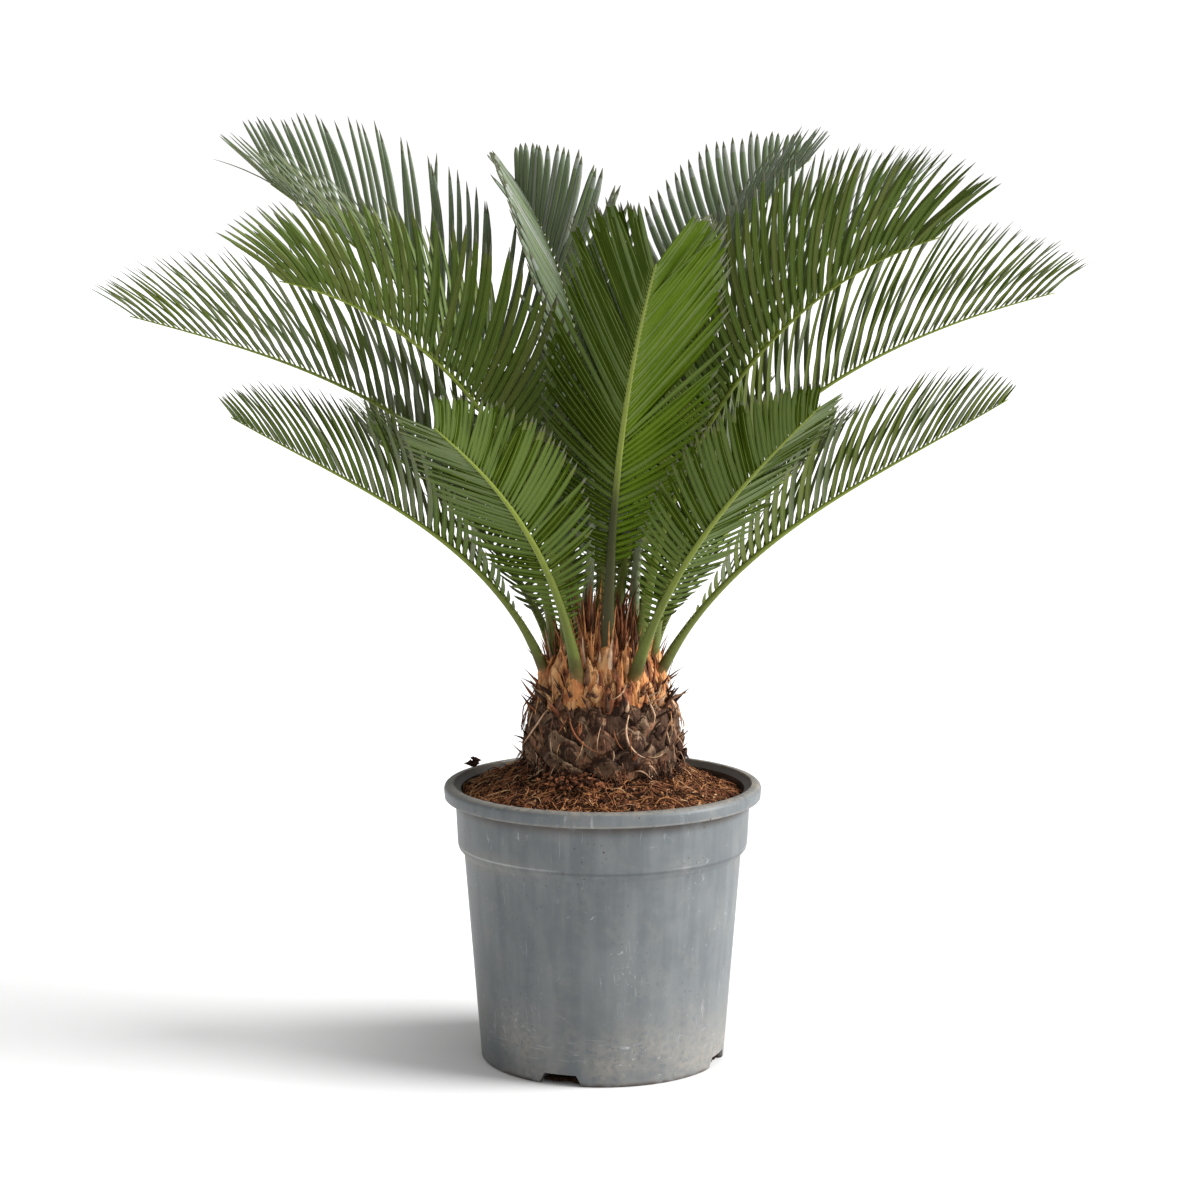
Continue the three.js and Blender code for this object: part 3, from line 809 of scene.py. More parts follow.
@dataclass
class NurseryPot:
    """The plastic pot: a tapered body, a collar, a rim band and four drainage notches."""

    height: float = 0.211
    sides: int = 144
    wall: float = 0.0024
    rim_radius: float = 0.120
    rim_band: float = 0.011
    rim_inset: float = 0.004
    rim_draft: float = 0.0006
    collar_radius: float = 0.1114
    collar_foot: float = 0.1655
    collar_foot_radius: float = 0.1096
    body_top: float = 0.157
    body_top_radius: float = 0.1048
    body_rings: int = 9
    foot_radius: float = 0.0924
    foot_edge: float = 0.004
    foot_bevel: float = 0.0012
    floor: float = 0.003
    pad_radius: float = 0.066
    channel_rise: float = 0.007
    channel_slope: float = 0.004
    middle_radius: float = 0.0001
    notches: int = 4
    notch_width: float = 0.035
    notch_top: float = 0.025
    notch_height: float = 0.0085
    notch_start: float = -110.0
    notch_depth: float = 0.030
    notch_clearance: float = 0.001
    sharp_from: float = 32.0

    def inside(self, height: float) -> float:
        """Inside radius at a height."""
        body = lerp(self.foot_radius, self.body_top_radius, min(1.0, height / self.body_top))
        return (body if height < self.collar_foot else self.collar_foot_radius) - self.wall

    def notch_azimuth(self, number: int) -> float:
        """The direction of one notch."""
        return self.notch_start + number * 360 / self.notches

    def profile(self) -> Profile:
        """The outline of the wall, from under the middle, up the outside and down the inside.

        Returns:
            Pairs of height and radius.
        """
        top, band, inset = self.height, self.height - self.rim_band, self.rim_inset
        foot, body, step = self.foot_radius, self.body_top_radius, self.collar_foot_radius
        collar, rim, drafted = self.collar_radius, self.rim_radius, self.rim_radius - self.rim_draft
        pad, slope, rise = self.pad_radius, self.channel_slope, self.channel_rise
        ring_inside = foot - self.foot_bevel - self.foot_edge
        raised = rise + self.floor
        heights = np.linspace(self.foot_bevel, self.body_top, self.body_rings)
        return [
            (0, self.middle_radius),
            (0, pad),
            (rise, pad + slope),
            (rise, ring_inside - 0.001),
            (0, ring_inside),
            (0, foot - self.foot_bevel),
            *((z, lerp(foot, body, z / self.body_top)) for z in heights),
            (self.body_top + 0.0012, body + 0.0004),
            (self.collar_foot - 0.003, step - 0.0008),
            (self.collar_foot - 0.0008, step - 0.0001),
            (self.collar_foot + 0.001, step + 0.0001),
            (band - 0.008, lerp(step, collar, 0.75)),
            (band - 0.0022, collar + 0.0004),
            (band - 0.0006, collar + 0.0022),
            (band, collar + 0.0048),
            (band, drafted - 0.0006),
            (band + 0.0006, drafted),
            (top - inset, rim),
            (top - inset * 0.45, rim - inset * 0.18),
            (top - inset * 0.16, rim - inset * 0.52),
            (top, rim - inset),
            (top, collar + 0.0014),
            (top - 0.0008, collar + 0.0004),
            (top - inset, self.inside(self.collar_foot)),
            (self.collar_foot, self.inside(self.collar_foot)),
            (self.body_top + self.wall, self.inside(self.body_top)),
            (raised, self.inside(raised)),
            (raised, pad + slope / 2),
            (self.floor, pad - slope / 2),
            (self.floor, self.middle_radius),
        ]

    def _notch(self, azimuth: float) -> Pile:
        """The wedge-sided block that cuts one notch.

        Args:
            azimuth: where the notch lies.

        Returns:
            The block, as a pile of one skin.
        """
        sides = np.array([-self.notch_width, self.notch_width, self.notch_top, -self.notch_top]) / 2
        heights = [-self.notch_clearance, -self.notch_clearance, self.notch_height, self.notch_height]
        ends = (self.foot_radius - self.notch_depth / 2, self.foot_radius + self.notch_depth / 2)
        block = Pile()
        block.skin(np.array([spread(outward(azimuth), away, heights, sides) for away in ends]), 0)
        return block

    def build(self, finishes: Finishes) -> None:
        """Makes the pot and cuts its notches.

        Args:
            finishes: the plant's materials.
        """
        shell = Pile()
        shell.skin(lathe(self.profile(), self.sides), 0)
        pot = shell.made("pot_shell", [finishes.plastic])
        for number in range(self.notches):
            block = self._notch(self.notch_azimuth(number))
            self._cut(pot, block.made(f"notch_{number}", [finishes.plastic]))
        self._sharpen(pot)
        fit(pot, "pot", "pot")

    @staticmethod
    def _cut(pot: bpy.types.Object, block: bpy.types.Object) -> None:
        """Takes a block out of the pot.

        Args:
            pot: the pot.
            block: the block, which is used up.
        """
        cut = pot.modifiers.new("cut", "BOOLEAN")
        cut.operation = "DIFFERENCE"
        cut.solver = "EXACT"
        cut.object = block
        shaped = pot.evaluated_get(bpy.context.evaluated_depsgraph_get())
        mesh = bpy.data.meshes.new_from_object(shaped)
        pot.modifiers.clear()
        pot.data = mesh
        bpy.data.objects.remove(block)

    def _sharpen(self, pot: bpy.types.Object) -> None:
        """Shades the pot smoothly between the edges that turn sharply.

        Args:
            pot: the pot.
        """
        pot.data.polygons.foreach_set("use_smooth", [True] * len(pot.data.polygons))
        shape = bmesh.new()
        shape.from_mesh(pot.data)
        limit = math.radians(self.sharp_from)
        for edge in shape.edges:
            edge.smooth = len(edge.link_faces) == 2 and edge.calc_face_angle(0) < limit
        shape.to_mesh(pot.data)
        shape.free()


# ---------------------------------------------------------------- soil


class Spot(Enum):
    """Where litter lies: on all the open soil, close round the trunk, or on the little heap beside it."""

    OPEN = 0
    TRUNK = 1
    HEAP = 2


@dataclass(frozen=True)
class Crumbs:
    """One kind of crumb.

    near is the least radius at which it lies. A share of them, swollen, is half as large again. They stand
    at a height within lifts above the soil, or at a share of their own size, raised, if lifts is None.
    """

    count: int
    spot: Spot
    near: float
    sizes: Span
    odds: Mapping[Coir, float]
    swollen: float = 0.0
    lifts: Span | None = None
    raised: float = 0.0


@dataclass(frozen=True)
class Fibres:
    """One kind of curled fibre; near is the least radius at which it starts."""

    count: int
    spot: Spot
    near: float
    lengths: Span
    radii: Span
    odds: Mapping[Coir, float]


@dataclass
class Soil:
    """The mound of coir and peat, with crumbs and curled fibres lying on it."""

    pot: NurseryPot
    mound: float = 0.222
    plateau: float = 0.056
    edge: float = 0.202
    gap: float = 0.0004
    sides: int = 180
    rings: int = 46
    lumps: Profile = ((38, 0.0030), (110, 0.0018))  # how many to the metre, and their height
    high_side: float = 165.0
    lean: float = 0.0022
    margin: float = 0.0025
    fibre_margin: float = 0.002
    trunk_spread: float = 0.0050
    heap_azimuth: float = -110.0
    heap_radius: float = 0.066
    heap_spread: Span = (0.0050, 11.0)
    notch_crumbs: int = 420
    notch_reach: Span = (0.0715, 0.0885)
    notch_half_angle: float = 9.0
    notch_low: float = 0.0021
    notch_high: Span = (0.0056, 0.0040)
    notch_sizes: Span = (0.0016, 0.0026)
    clod_azimuth: float = 149.0
    clod_radius: float = 0.1165
    clod_lift: float = 0.0026
    clod: tuple[tuple[float, float, float], ...] = (
        (0.0, 0.0, 0.0072), (0.0035, 0.001, 0.0056), (-0.0035, 0.0008, 0.0052), (0.0, 0.0034, 0.0058),
    )
    fibre_steps: int = 9
    seed: int = 11
    crumbs: tuple[Crumbs, ...] = (
        Crumbs(
            5200, Spot.OPEN, 0.05, (0.0009, 0.0026), swollen=0.06, raised=0.15,
            odds={Coir.DARK: 0.40, Coir.RED: 0.38, Coir.ORANGE: 0.18, Coir.STRAW: 0.04},
        ),
        Crumbs(420, Spot.OPEN, 0.054, (0.0028, 0.0050), {Coir.RED: 0.45, Coir.DARK: 0.55}, raised=-0.2),
        Crumbs(520, Spot.TRUNK, 0.0535, (0.0014, 0.0036), {Coir.DARK: 1}, lifts=(0, 0.0015)),
        Crumbs(420, Spot.HEAP, 0.058, (0.0016, 0.004), {Coir.RED: 0.55, Coir.DARK: 0.45}, lifts=(0, 0.0075)),
    )
    fibres: tuple[Fibres, ...] = (
        Fibres(
            1500, Spot.OPEN, 0.052, (0.008, 0.030), (0.00022, 0.00055),
            {Coir.DARK: 0.20, Coir.RED: 0.46, Coir.ORANGE: 0.26, Coir.STRAW: 0.08},
        ),
        Fibres(
            42, Spot.OPEN, 0.056, (0.026, 0.046), (0.0005, 0.0009),
            {Coir.RED: 0.4, Coir.ORANGE: 0.35, Coir.STRAW: 0.25},
        ),
        Fibres(
            120, Spot.HEAP, 0.058, (0.010, 0.022), (0.0005, 0.0010),
            {Coir.DARK: 0.22, Coir.RED: 0.5, Coir.ORANGE: 0.2, Coir.STRAW: 0.08},
        ),
    )

    def __post_init__(self) -> None:
        """Seeds the variation."""
        self.rng = np.random.default_rng(self.seed)

    def surface(self, radius: float, azimuth: float) -> float:
        """Height of the uneven soil.

        Args:
            radius: how far from the axis.
            azimuth: the direction, in radians.

        Returns:
            The height there.
        """
        wall = self.pot.inside(self.edge)
        half_way = (lerp(wall, self.plateau, 0.5), lerp(self.edge, self.mound, 0.45))
        outline_radius = [0, self.plateau, half_way[0], wall]
        level = float(np.interp(radius, outline_radius, [self.mound, self.mound, half_way[1], self.edge]))
        place = Vector((radius * math.cos(azimuth), radius * math.sin(azimuth), 0.0))
        lumps = sum(noise.noise(place * scale) * height for scale, height in self.lumps)
        lean = self.lean * math.cos(azimuth - math.radians(self.high_side))
        steady = min(1.0, max(0.0, (radius - self.plateau * 0.85) / 0.02))
        return level + (lumps + lean) * steady

    def on_surface(self, radius: float, azimuth: float, lift: float = 0.0) -> np.ndarray:
        """A point on the soil, or a little above it; the azimuth is in radians."""
        height = self.surface(radius, azimuth) + lift
        return np.array([radius * math.cos(azimuth), radius * math.sin(azimuth), height])

    def _bed(self) -> Pile:
        """The bulk of the soil, closed underneath.

        Returns:
            The bed, as a pile of one skin.
        """
        pot = self.pot
        wall = pot.inside(self.edge) - self.gap
        low = pot.channel_rise + pot.floor + self.gap
        under = [
            (pot.floor + self.gap, pot.middle_radius),
            (pot.floor + self.gap, pot.pad_radius - pot.channel_slope / 2 - self.gap),
            (low, pot.pad_radius),
            (low, pot.inside(low) - self.gap),
            (pot.body_top + pot.wall, pot.inside(pot.body_top) - self.gap),
            (pot.collar_foot + self.gap, wall),
        ]
        radii = np.linspace(wall, pot.middle_radius, self.rings)
        top = [[self.on_surface(radius, azimuth) for azimuth in round_turn(self.sides)] for radius in radii]
        bed = Pile()
        bed.skin(np.concatenate([lathe(under, self.sides), np.array(top)]), 0)
        return bed

    def _crumb(self, pile: Pile, place: np.ndarray, size: float, tone: int) -> None:
        """Adds one rough crumb: an uneven eight-sided lump.

        Args:
            pile: what it is added to.
            place: its middle.
            size: half its width.
            tone: the number of its material.
        """
        rng = self.rng
        tips = np.array([(1, 0, 0), (-1, 0, 0), (0, 1, 0), (0, -1, 0), (0, 0, 1), (0, 0, -1)], float)
        tips *= rng.uniform(0.45, 1.15, (6, 1))
        tips += rng.uniform(-0.25, 0.25, (6, 3))
        turn = rng.uniform(0, 2 * math.pi)
        cos, sin = math.cos(turn), math.sin(turn)
        spin = np.array([[cos, -sin, 0], [sin, cos, 0], [0, 0, 1]])
        faces = [(0, 2, 4), (2, 1, 4), (1, 3, 4), (3, 0, 4), (2, 0, 5), (1, 2, 5), (3, 1, 5), (0, 3, 5)]
        pile.lump(place + (tips * (1.0, 0.7, 0.55)) @ spin.T * size, faces, tone)

    def _drawn(self, spot: Spot, near: float) -> tuple[float, float]:
        """A random place for litter.

        Args:
            spot: where litter of this kind lies.
            near: the least radius.

        Returns:
            A radius, and an azimuth in radians.
        """
        rng = self.rng
        if spot is Spot.HEAP:
            radius = self.heap_radius + rng.normal(0, self.heap_spread[0])
            return max(radius, near), math.radians(self.heap_azimuth + rng.normal(0, self.heap_spread[1]))
        if spot is Spot.TRUNK:
            azimuth = rng.uniform(0, 2 * math.pi)
            return near + abs(rng.normal(0, self.trunk_spread)), azimuth
        wall = self.pot.inside(self.edge) - self.margin
        radius = math.sqrt(rng.uniform(near**2, wall**2))
        return radius, rng.uniform(0, 2 * math.pi)

    def _strew(self, pile: Pile, kind: Crumbs) -> None:
        """Adds all the crumbs of one kind.

        Args:
            pile: what they are added to.
            kind: the kind.
        """
        rng = self.rng
        for _ in range(kind.count):
            radius, azimuth = self._drawn(kind.spot, kind.near)
            size = rng.uniform(*kind.sizes)
            if kind.swollen and rng.random() < kind.swollen:
                size *= 1.5
            lift = rng.uniform(*kind.lifts) if kind.lifts else size * kind.raised
            tone = by_odds(rng, kind.odds) if len(kind.odds) > 1 else Coir.DARK.number
            self._crumb(pile, self.on_surface(radius, azimuth, lift), size, tone)

    def _fibre(self, pile: Pile, kind: Fibres) -> None:
        """Adds one curled fibre that lies on the soil.

        Args:
            pile: what it is added to.
            kind: its kind.
        """
        rng = self.rng
        tone = by_odds(rng, kind.odds)
        radius, azimuth = self._drawn(kind.spot, kind.near)
        length = rng.uniform(*kind.lengths)
        thick = rng.uniform(*kind.radii)
        steps = self.fibre_steps
        heading = rng.uniform(0, 2 * math.pi)
        curl = rng.normal(0, 2.2) / steps
        rise = rng.uniform(0.0002, 0.0042) if rng.random() < 0.4 else rng.uniform(0.0, 0.0012)
        limit = self.pot.inside(self.edge) - self.fibre_margin
        flat = np.array([radius * math.cos(azimuth), radius * math.sin(azimuth)])
        path = []
        for i in range(steps):
            away = min(float(np.hypot(*flat)), limit)
            flat = flat * (away / max(float(np.hypot(*flat)), 1e-6))
            lift = rise * math.sin(math.pi * i / (steps - 1)) + 0.0003
            path.append(self.on_surface(away, math.atan2(flat[1], flat[0]), lift))
            flat = flat + np.array([math.cos(heading), math.sin(heading)]) * length / steps
            heading += curl + rng.normal(0, 0.16)
        radii = thick * np.sin(np.linspace(0.35, math.pi - 0.25, steps))
        pile.skin(strand(np.array(path), radii, 4), tone)

    def _add_clod(self, pile: Pile) -> None:
        """Adds a clod of dark crumbs on the rim.

        Args:
            pile: what it is added to.
        """
        foot = outward(self.clod_azimuth) * self.clod_radius + UP * (self.pot.height + self.clod_lift)
        for shift, lift, size in self.clod:
            place = foot + outward(self.clod_azimuth - 90) * shift + UP * lift
            self._crumb(pile, place, size, Coir.DARK.number)

    def _notch_soil(self) -> Pile:
        """Dark crumbs that fill the drainage channel behind each notch: soil at the mouths, and a painted
        shade for the notches' shadowed insides.

        Returns:
            The crumbs.
        """
        rng = self.rng
        plugs = Pile()
        start, end = self.notch_reach
        for number in range(self.pot.notches):
            for _ in range(self.notch_crumbs):
                away = rng.uniform(start, end)
                aside = rng.uniform(-self.notch_half_angle, self.notch_half_angle)
                place = outward(self.pot.notch_azimuth(number) + aside) * away
                high = lerp(*self.notch_high, (away - start) / (end - start))
                place[2] = rng.uniform(self.notch_low, high)
                self._crumb(plugs, place, rng.uniform(*self.notch_sizes), Coir.DARK.number)
        return plugs

    def build(self, finishes: Finishes) -> None:
        """Makes the bed, the crumbs and the fibres.

        Args:
            finishes: the plant's materials.
        """
        fit(self._bed().made("soil_bed", [finishes.peat]), "soil", "soil")
        crumbs = Pile()
        for kind in self.crumbs:
            self._strew(crumbs, kind)
        self._add_clod(crumbs)
        fit(crumbs.made("soil_crumbs", finishes.coir, smooth=False), "soil")
        # The notch crumbs: soil at the mouths and painted shade inside the notches.
        fit(self._notch_soil().made("notch_soil", finishes.coir[:1], smooth=False), "soil")
        fibres = Pile()
        for kind in self.fibres:
            for _ in range(kind.count):
                self._fibre(fibres, kind)
        fit(fibres.made("soil_fibres", finishes.coir), "soil")


# ---------------------------------------------------------------- trunk


@dataclass(frozen=True)
class ScaleRow:
    """One band of leaf scales round the trunk; lean is in degrees."""

    height: float
    count: int
    length: float
    width: float
    thickness: float
    lean: float
    tones: tuple[Bark, ...]


@dataclass(frozen=True)
class Hanging:
    """One kind of curled fibre that hangs over the scales."""

    count: int
    lengths: Span
    heights: Span
    radii: Span


@dataclass
class Trunk:
    """The stout trunk: a rough core under rings of old leaf bases, spikes and loose fibres."""

    outline: Profile = (
        (0.2223, 0.0550), (0.232, 0.0585), (0.245, 0.0585), (0.258, 0.0565), (0.269, 0.0535),
        (0.277, 0.0475), (0.290, 0.0450), (0.303, 0.0400), (0.315, 0.0315), (0.325, 0.0200), (0.331, 0.0080),
    )
    crown_from: float = 0.245
    sides: int = 264
    levels: int = 96
    scars_round: int = 13
    scar_height: float = 0.0125
    shoulder: float = 0.2760
    seed: int = 23
    rows: tuple[ScaleRow, ...] = (
        ScaleRow(0.2180, 12, 0.021, 0.030, 0.0017, 17, (Bark.DARK, Bark.DARK, Bark.BROWN, Bark.GREY)),
        ScaleRow(0.2275, 12, 0.021, 0.031, 0.0017, 14, (Bark.DARK, Bark.BROWN, Bark.GREY, Bark.DARK)),
        ScaleRow(0.2370, 12, 0.021, 0.031, 0.0017, 12, (Bark.DARK, Bark.GREY, Bark.BROWN, Bark.DARK)),
        ScaleRow(0.2460, 12, 0.020, 0.030, 0.0016, 10, (Bark.DARK, Bark.BROWN, Bark.DARK, Bark.GREY)),
        ScaleRow(0.2550, 12, 0.018, 0.029, 0.0016, 8, (Bark.DARK, Bark.DARK, Bark.BROWN, Bark.GREY)),
        ScaleRow(0.2630, 13, 0.015, 0.027, 0.0015, 8, (Bark.DARK, Bark.BROWN, Bark.DARK, Bark.DARK)),
    )
    rims: tuple[Bark, ...] = (Bark.GREY, Bark.BROWN, Bark.GREY, Bark.DARK)
    scars: tuple[Bark, ...] = (Bark.DARK, Bark.DARK, Bark.BROWN, Bark.GREY, Bark.DARK)
    tears: tuple[Bark, ...] = (Bark.RED, Bark.ORANGE, Bark.RED, Bark.TAN, Bark.BROWN)
    layers: int = 3
    flakes: int = 170
    flake_steps: int = 9
    flake_heights: Span = (0.2690, 0.2950)
    flake_lengths: Span = (0.010, 0.026)
    flake_widths: Span = (0.0035, 0.0125)
    high_flake: float = 0.286
    flake_tones: tuple[Bark, ...] = (
        Bark.TAN, Bark.TAN, Bark.TAN, Bark.TAN, Bark.ORANGE, Bark.ORANGE, Bark.ORANGE, Bark.RED, Bark.BROWN,
    )
    high_flake_tones: tuple[Bark, ...] = (Bark.RED, Bark.ORANGE, Bark.BROWN)
    spikes: int = 330
    spikes_radius: float = 0.047
    spike_lengths: Span = (0.042, 0.024)
    spike_widths: Span = (0.0020, 0.0058)
    needles: int = 120
    needle_leans: Span = (18, 60)
    needle_widths: Span = (0.0032, 0.0056)
    foot_fibres: int = 210
    hanging: tuple[Hanging, ...] = (
        Hanging(70, (0.008, 0.022), (0.228, 0.298), (0.0003, 0.0006)),
        Hanging(18, (0.026, 0.044), (0.268, 0.296), (0.0006, 0.0009)),
    )

    def __post_init__(self) -> None:
        """Seeds the variation."""
        self.rng = np.random.default_rng(self.seed)

    def radius(self, height: float) -> float:
        """Radius of the trunk's outline at a height."""
        heights, radii = zip(*self.outline)
        return float(np.interp(height, heights, radii))

    def crown_height(self, radius: float) -> float:
        """The height at which the crown has narrowed to a radius."""
        heights, radii = zip(*[pair for pair in self.outline if pair[0] >= self.crown_from][::-1])
        return float(np.interp(radius, radii, heights))

    def _rhombs(self, rings: np.ndarray) -> tuple[np.ndarray, np.ndarray]:
        """The rhombic leaf scars of the core.

        Args:
            rings: points of the core, by ring, by place on the ring, by axis.

        Returns:
            For each point, how far it lies inside its scar, from 0 at an edge to 1, and its scar's number.
        """
        azimuth = np.arctan2(rings[..., 1], rings[..., 0]) / (2 * math.pi) * self.scars_round
        height = rings[..., 2] / self.scar_height
        wander = bumps(rings, 90, 11.0) * 0.35
        first = azimuth + height / 2 + wander
        second = azimuth - height / 2 + wander * 0.6
        inside = np.minimum(np.abs(first - np.round(first)), np.abs(second - np.round(second)))
        return np.clip(inside / 0.2, 0, 1), np.floor(first) * 31 + np.floor(second) * 17

    def _core(self) -> Pile:
        """The rough body under the scales: scarred below, torn and fibrous at the shoulder.

        Returns:
            The core, as a pile of one skin.
        """
        heights = np.linspace(self.outline[0][0], self.outline[-1][0], self.levels)
        rings = lathe([(z, self.radius(z)) for z in heights], self.sides)
        level = rings * (1, 1, 0)
        inside, scar = self._rhombs(rings)
        barrel = np.clip((self.shoulder - rings[..., 2]) / 0.006, 0, 1)
        torn = bumps(rings * (1, 1, 0.25), 260) * 0.0020
        relief = lerp(torn, (inside - 0.6) * 0.0022, barrel) + bumps(rings, 420, 4.0) * 0.0010
        sunk = np.minimum(0.0015, np.linalg.norm(level, axis=-1) * 0.1)
        core = Pile()
        shaped = rings + unit(level + 1e-9) * (relief - sunk)[..., None]
        core.skin(shaped, self._core_tones(rings, inside, scar))
        return core

    def _core_tones(self, rings: np.ndarray, inside: np.ndarray, scar: np.ndarray) -> np.ndarray:
        """The finishes of the core: one for each scar, dark edges, and torn orange above.

        Args:
            rings: its points.
            inside: how far each point lies inside its scar.
            scar: the number of each point's scar.

        Returns:
            One number for each face.
        """
        torn = (bumps(rings * (1, 1, 0.3), 190, 7.0) * 4.0 + 2.5).astype(int) % len(self.tears)
        above = rings[..., 2] > self.shoulder
        below = numbers(self.scars)[scar.astype(int) % len(self.scars)]
        tones = np.where(above, numbers(self.tears)[torn], below)
        return np.where((inside < 0.25) & ~above, Bark.DARK.number, tones)[:-1]

    def _scale(self, pile: Pile, azimuth: float, row: ScaleRow) -> None:
        """Adds one old leaf base: thin rhombic plates in layers, each smaller than the one below.

        Args:
            pile: what it is added to.
            azimuth: where it grows.
            row: its row.
        """
        rng = self.rng
        height = row.height + rng.normal(0, 0.0016)
        length = row.length * rng.uniform(0.85, 1.25)
        width = row.width * rng.uniform(0.75, 1.1)
        lean = math.tan(math.radians(row.lean * rng.uniform(0.2, 1.7)))
        skew = rng.normal(0, 0.16)
        tone = one_of(rng, row.tones)
        share = np.linspace(0, 1, self.flake_steps)
        out = outward(azimuth)
        for layer in range(self.layers):
            size = 1 - layer * rng.uniform(0.18, 0.27)
            start = height + (1 - size) * length * rng.uniform(0.35, 0.6)
            rise = share * length * size
            body = np.array([self.radius(start + z) for z in rise])
            depth = body - 0.0020 + layer * 0.0012 + rise * lean
            taper = np.interp(share, [0, 0.42, 0.75, 1], [0.30, 1, 0.62, 0.10])
            taper = taper * rng.uniform(0.82, 1.12, len(share))
            depths = row.thickness * np.interp(share, [0, 0.4, 1], [1.0, 1, 0.6])
            centre = spread(out, depth, start + rise, skew * rise)
            rings = blade(centre, out, width * size * taper, depths, section(SIX_FACES, 0.24))
            relief = pushed(rings, out, 0.5, 420, rng.uniform(0, 90), 0.0009)
            rings += relief + rng.normal(0, 0.00020, rings.shape)
            tones = np.full((len(share) - 1, rings.shape[1]), tone)
            rim = one_of(rng, self.rims)
            tones[:, [0, 5]] = rim
            tones[-1, :] = rim
            pile.skin(rings, tones)

    def _flake(self, pile: Pile) -> None:
        """Adds one upright flake of torn leaf base at the shoulder, with a ragged point.

        Args:
            pile: what it is added to.
        """
        rng = self.rng
        out = outward(rng.uniform(0, 360))
        height = rng.uniform(*self.flake_heights)
        length = rng.uniform(*self.flake_lengths)
        width = rng.uniform(*self.flake_widths)
        share = np.linspace(0, 1, self.flake_steps)
        rise = share * length
        body = np.array([self.radius(height + z) for z in rise])
        flare = math.tan(math.radians(rng.uniform(-3, 14))) * share**1.5 * length
        lift = rng.uniform(-0.0010, 0.0026) - 0.0030 * (1 - share) ** 3
        centre = spread(out, body + lift + flare, height + rise, rise * rng.normal(0, 0.22))
        face = unit(out + np.cross(UP, out) * rng.normal(0, 0.3))
        taper = np.interp(share, [0, 0.2, 0.6, 0.9, 1], [0.55, 1, 0.8, 0.35, 0.05])
        taper = taper * rng.uniform(0.72, 1.15, len(share))
        depths = np.interp(share, [0, 0.4, 1], [0.0030, 0.0024, 0.0006]) * rng.uniform(0.7, 1.2)
        rings = blade(centre, face, width * taper, depths, section(SIX_FACES, 0.2))
        rings += pushed(rings, face, 0.3, 380, rng.uniform(0, 90), 0.0009)
        high = height > self.high_flake and rng.random() < 0.7
        pile.skin(rings, one_of(rng, self.high_flake_tones if high else self.flake_tones))

    def _spike(
        self, pile: Pile, foot: np.ndarray, azimuth: float, length: float, lean: float, width: float,
        tone: int,
    ) -> None:
        """Adds one pointed spike: a narrow dry blade that leans out and bends a little.

        Args:
            pile: what it is added to.
            foot: where it grows from.
            azimuth: where it leans to.
            length: its length.
            lean: its angle from upright, in degrees.
            width: its greatest width.
            tone: the number of its finish.
        """
        rng = self.rng
        share = np.linspace(0, 1, 8)
        out = outward(azimuth)
        tilt = math.radians(lean) + share * rng.normal(0.0, 0.25)
        heading = spread(out, np.sin(tilt), np.cos(tilt), share * rng.normal(0, 0.22))
        centre = foot + np.cumsum(unit(heading), axis=0) * length / len(share)
        face = unit(spread(out, np.cos(tilt), -np.sin(tilt), rng.normal(0, 0.45)))
        widths = width * np.interp(share, [0, 0.2, 0.6, 1], [0.9, 1, 0.55, 0.04])
        depths = np.maximum(0.0003, widths * 0.16)
        pile.skin(blade(centre, face, widths, depths, section(FOUR_FACES, 0.5)), tone)

    def _crown_spikes(self) -> Pile:
        """The dry spikes that stand up between the stalks.

        Returns:
            The spikes.
        """
        rng = self.rng
        spikes = Pile()
        odds = {Bark.RED: 0.44, Bark.ORANGE: 0.32, Bark.BROWN: 0.12, Bark.STRAW: 0.12}
        for _ in range(self.spikes):
            away = self.spikes_radius * math.sqrt(rng.uniform(0.03, 1.0))
            azimuth = rng.uniform(0, 360)
            foot = outward(azimuth) * away
            foot[2] = self.crown_height(max(away, 0.0085)) - 0.006
            out_share = away / self.spikes_radius
            length = lerp(*self.spike_lengths, out_share) * rng.uniform(0.5, 1.35)
            width = rng.uniform(*self.spike_widths)
            self._spike(spikes, foot, azimuth, length, out_share * 12, width, by_odds(rng, odds))
        return spikes

    def _side_needles(self) -> Pile:
        """Dark pointed remains that stand out from the shoulder and the barrel.

        Returns:
            The needles.
        """
        rng = self.rng
        needles = Pile()
        odds = {Bark.DARK: 0.48, Bark.BROWN: 0.22, Bark.RED: 0.18, Bark.STRAW: 0.12}
        for _ in range(self.needles):
            azimuth = rng.uniform(0, 360)
            high = rng.random() < 0.65
            height = rng.uniform(0.264, 0.284) if high else rng.uniform(0.228, 0.264)
            foot = outward(azimuth) * (self.radius(height) - 0.001)
            foot[2] = height
            length = rng.uniform(0.012, 0.023) if high else rng.uniform(0.010, 0.017)
            lean = rng.uniform(*self.needle_leans)
            tone = by_odds(rng, odds)
            self._spike(needles, foot, azimuth, length, lean, rng.uniform(*self.needle_widths), tone)
        return needles

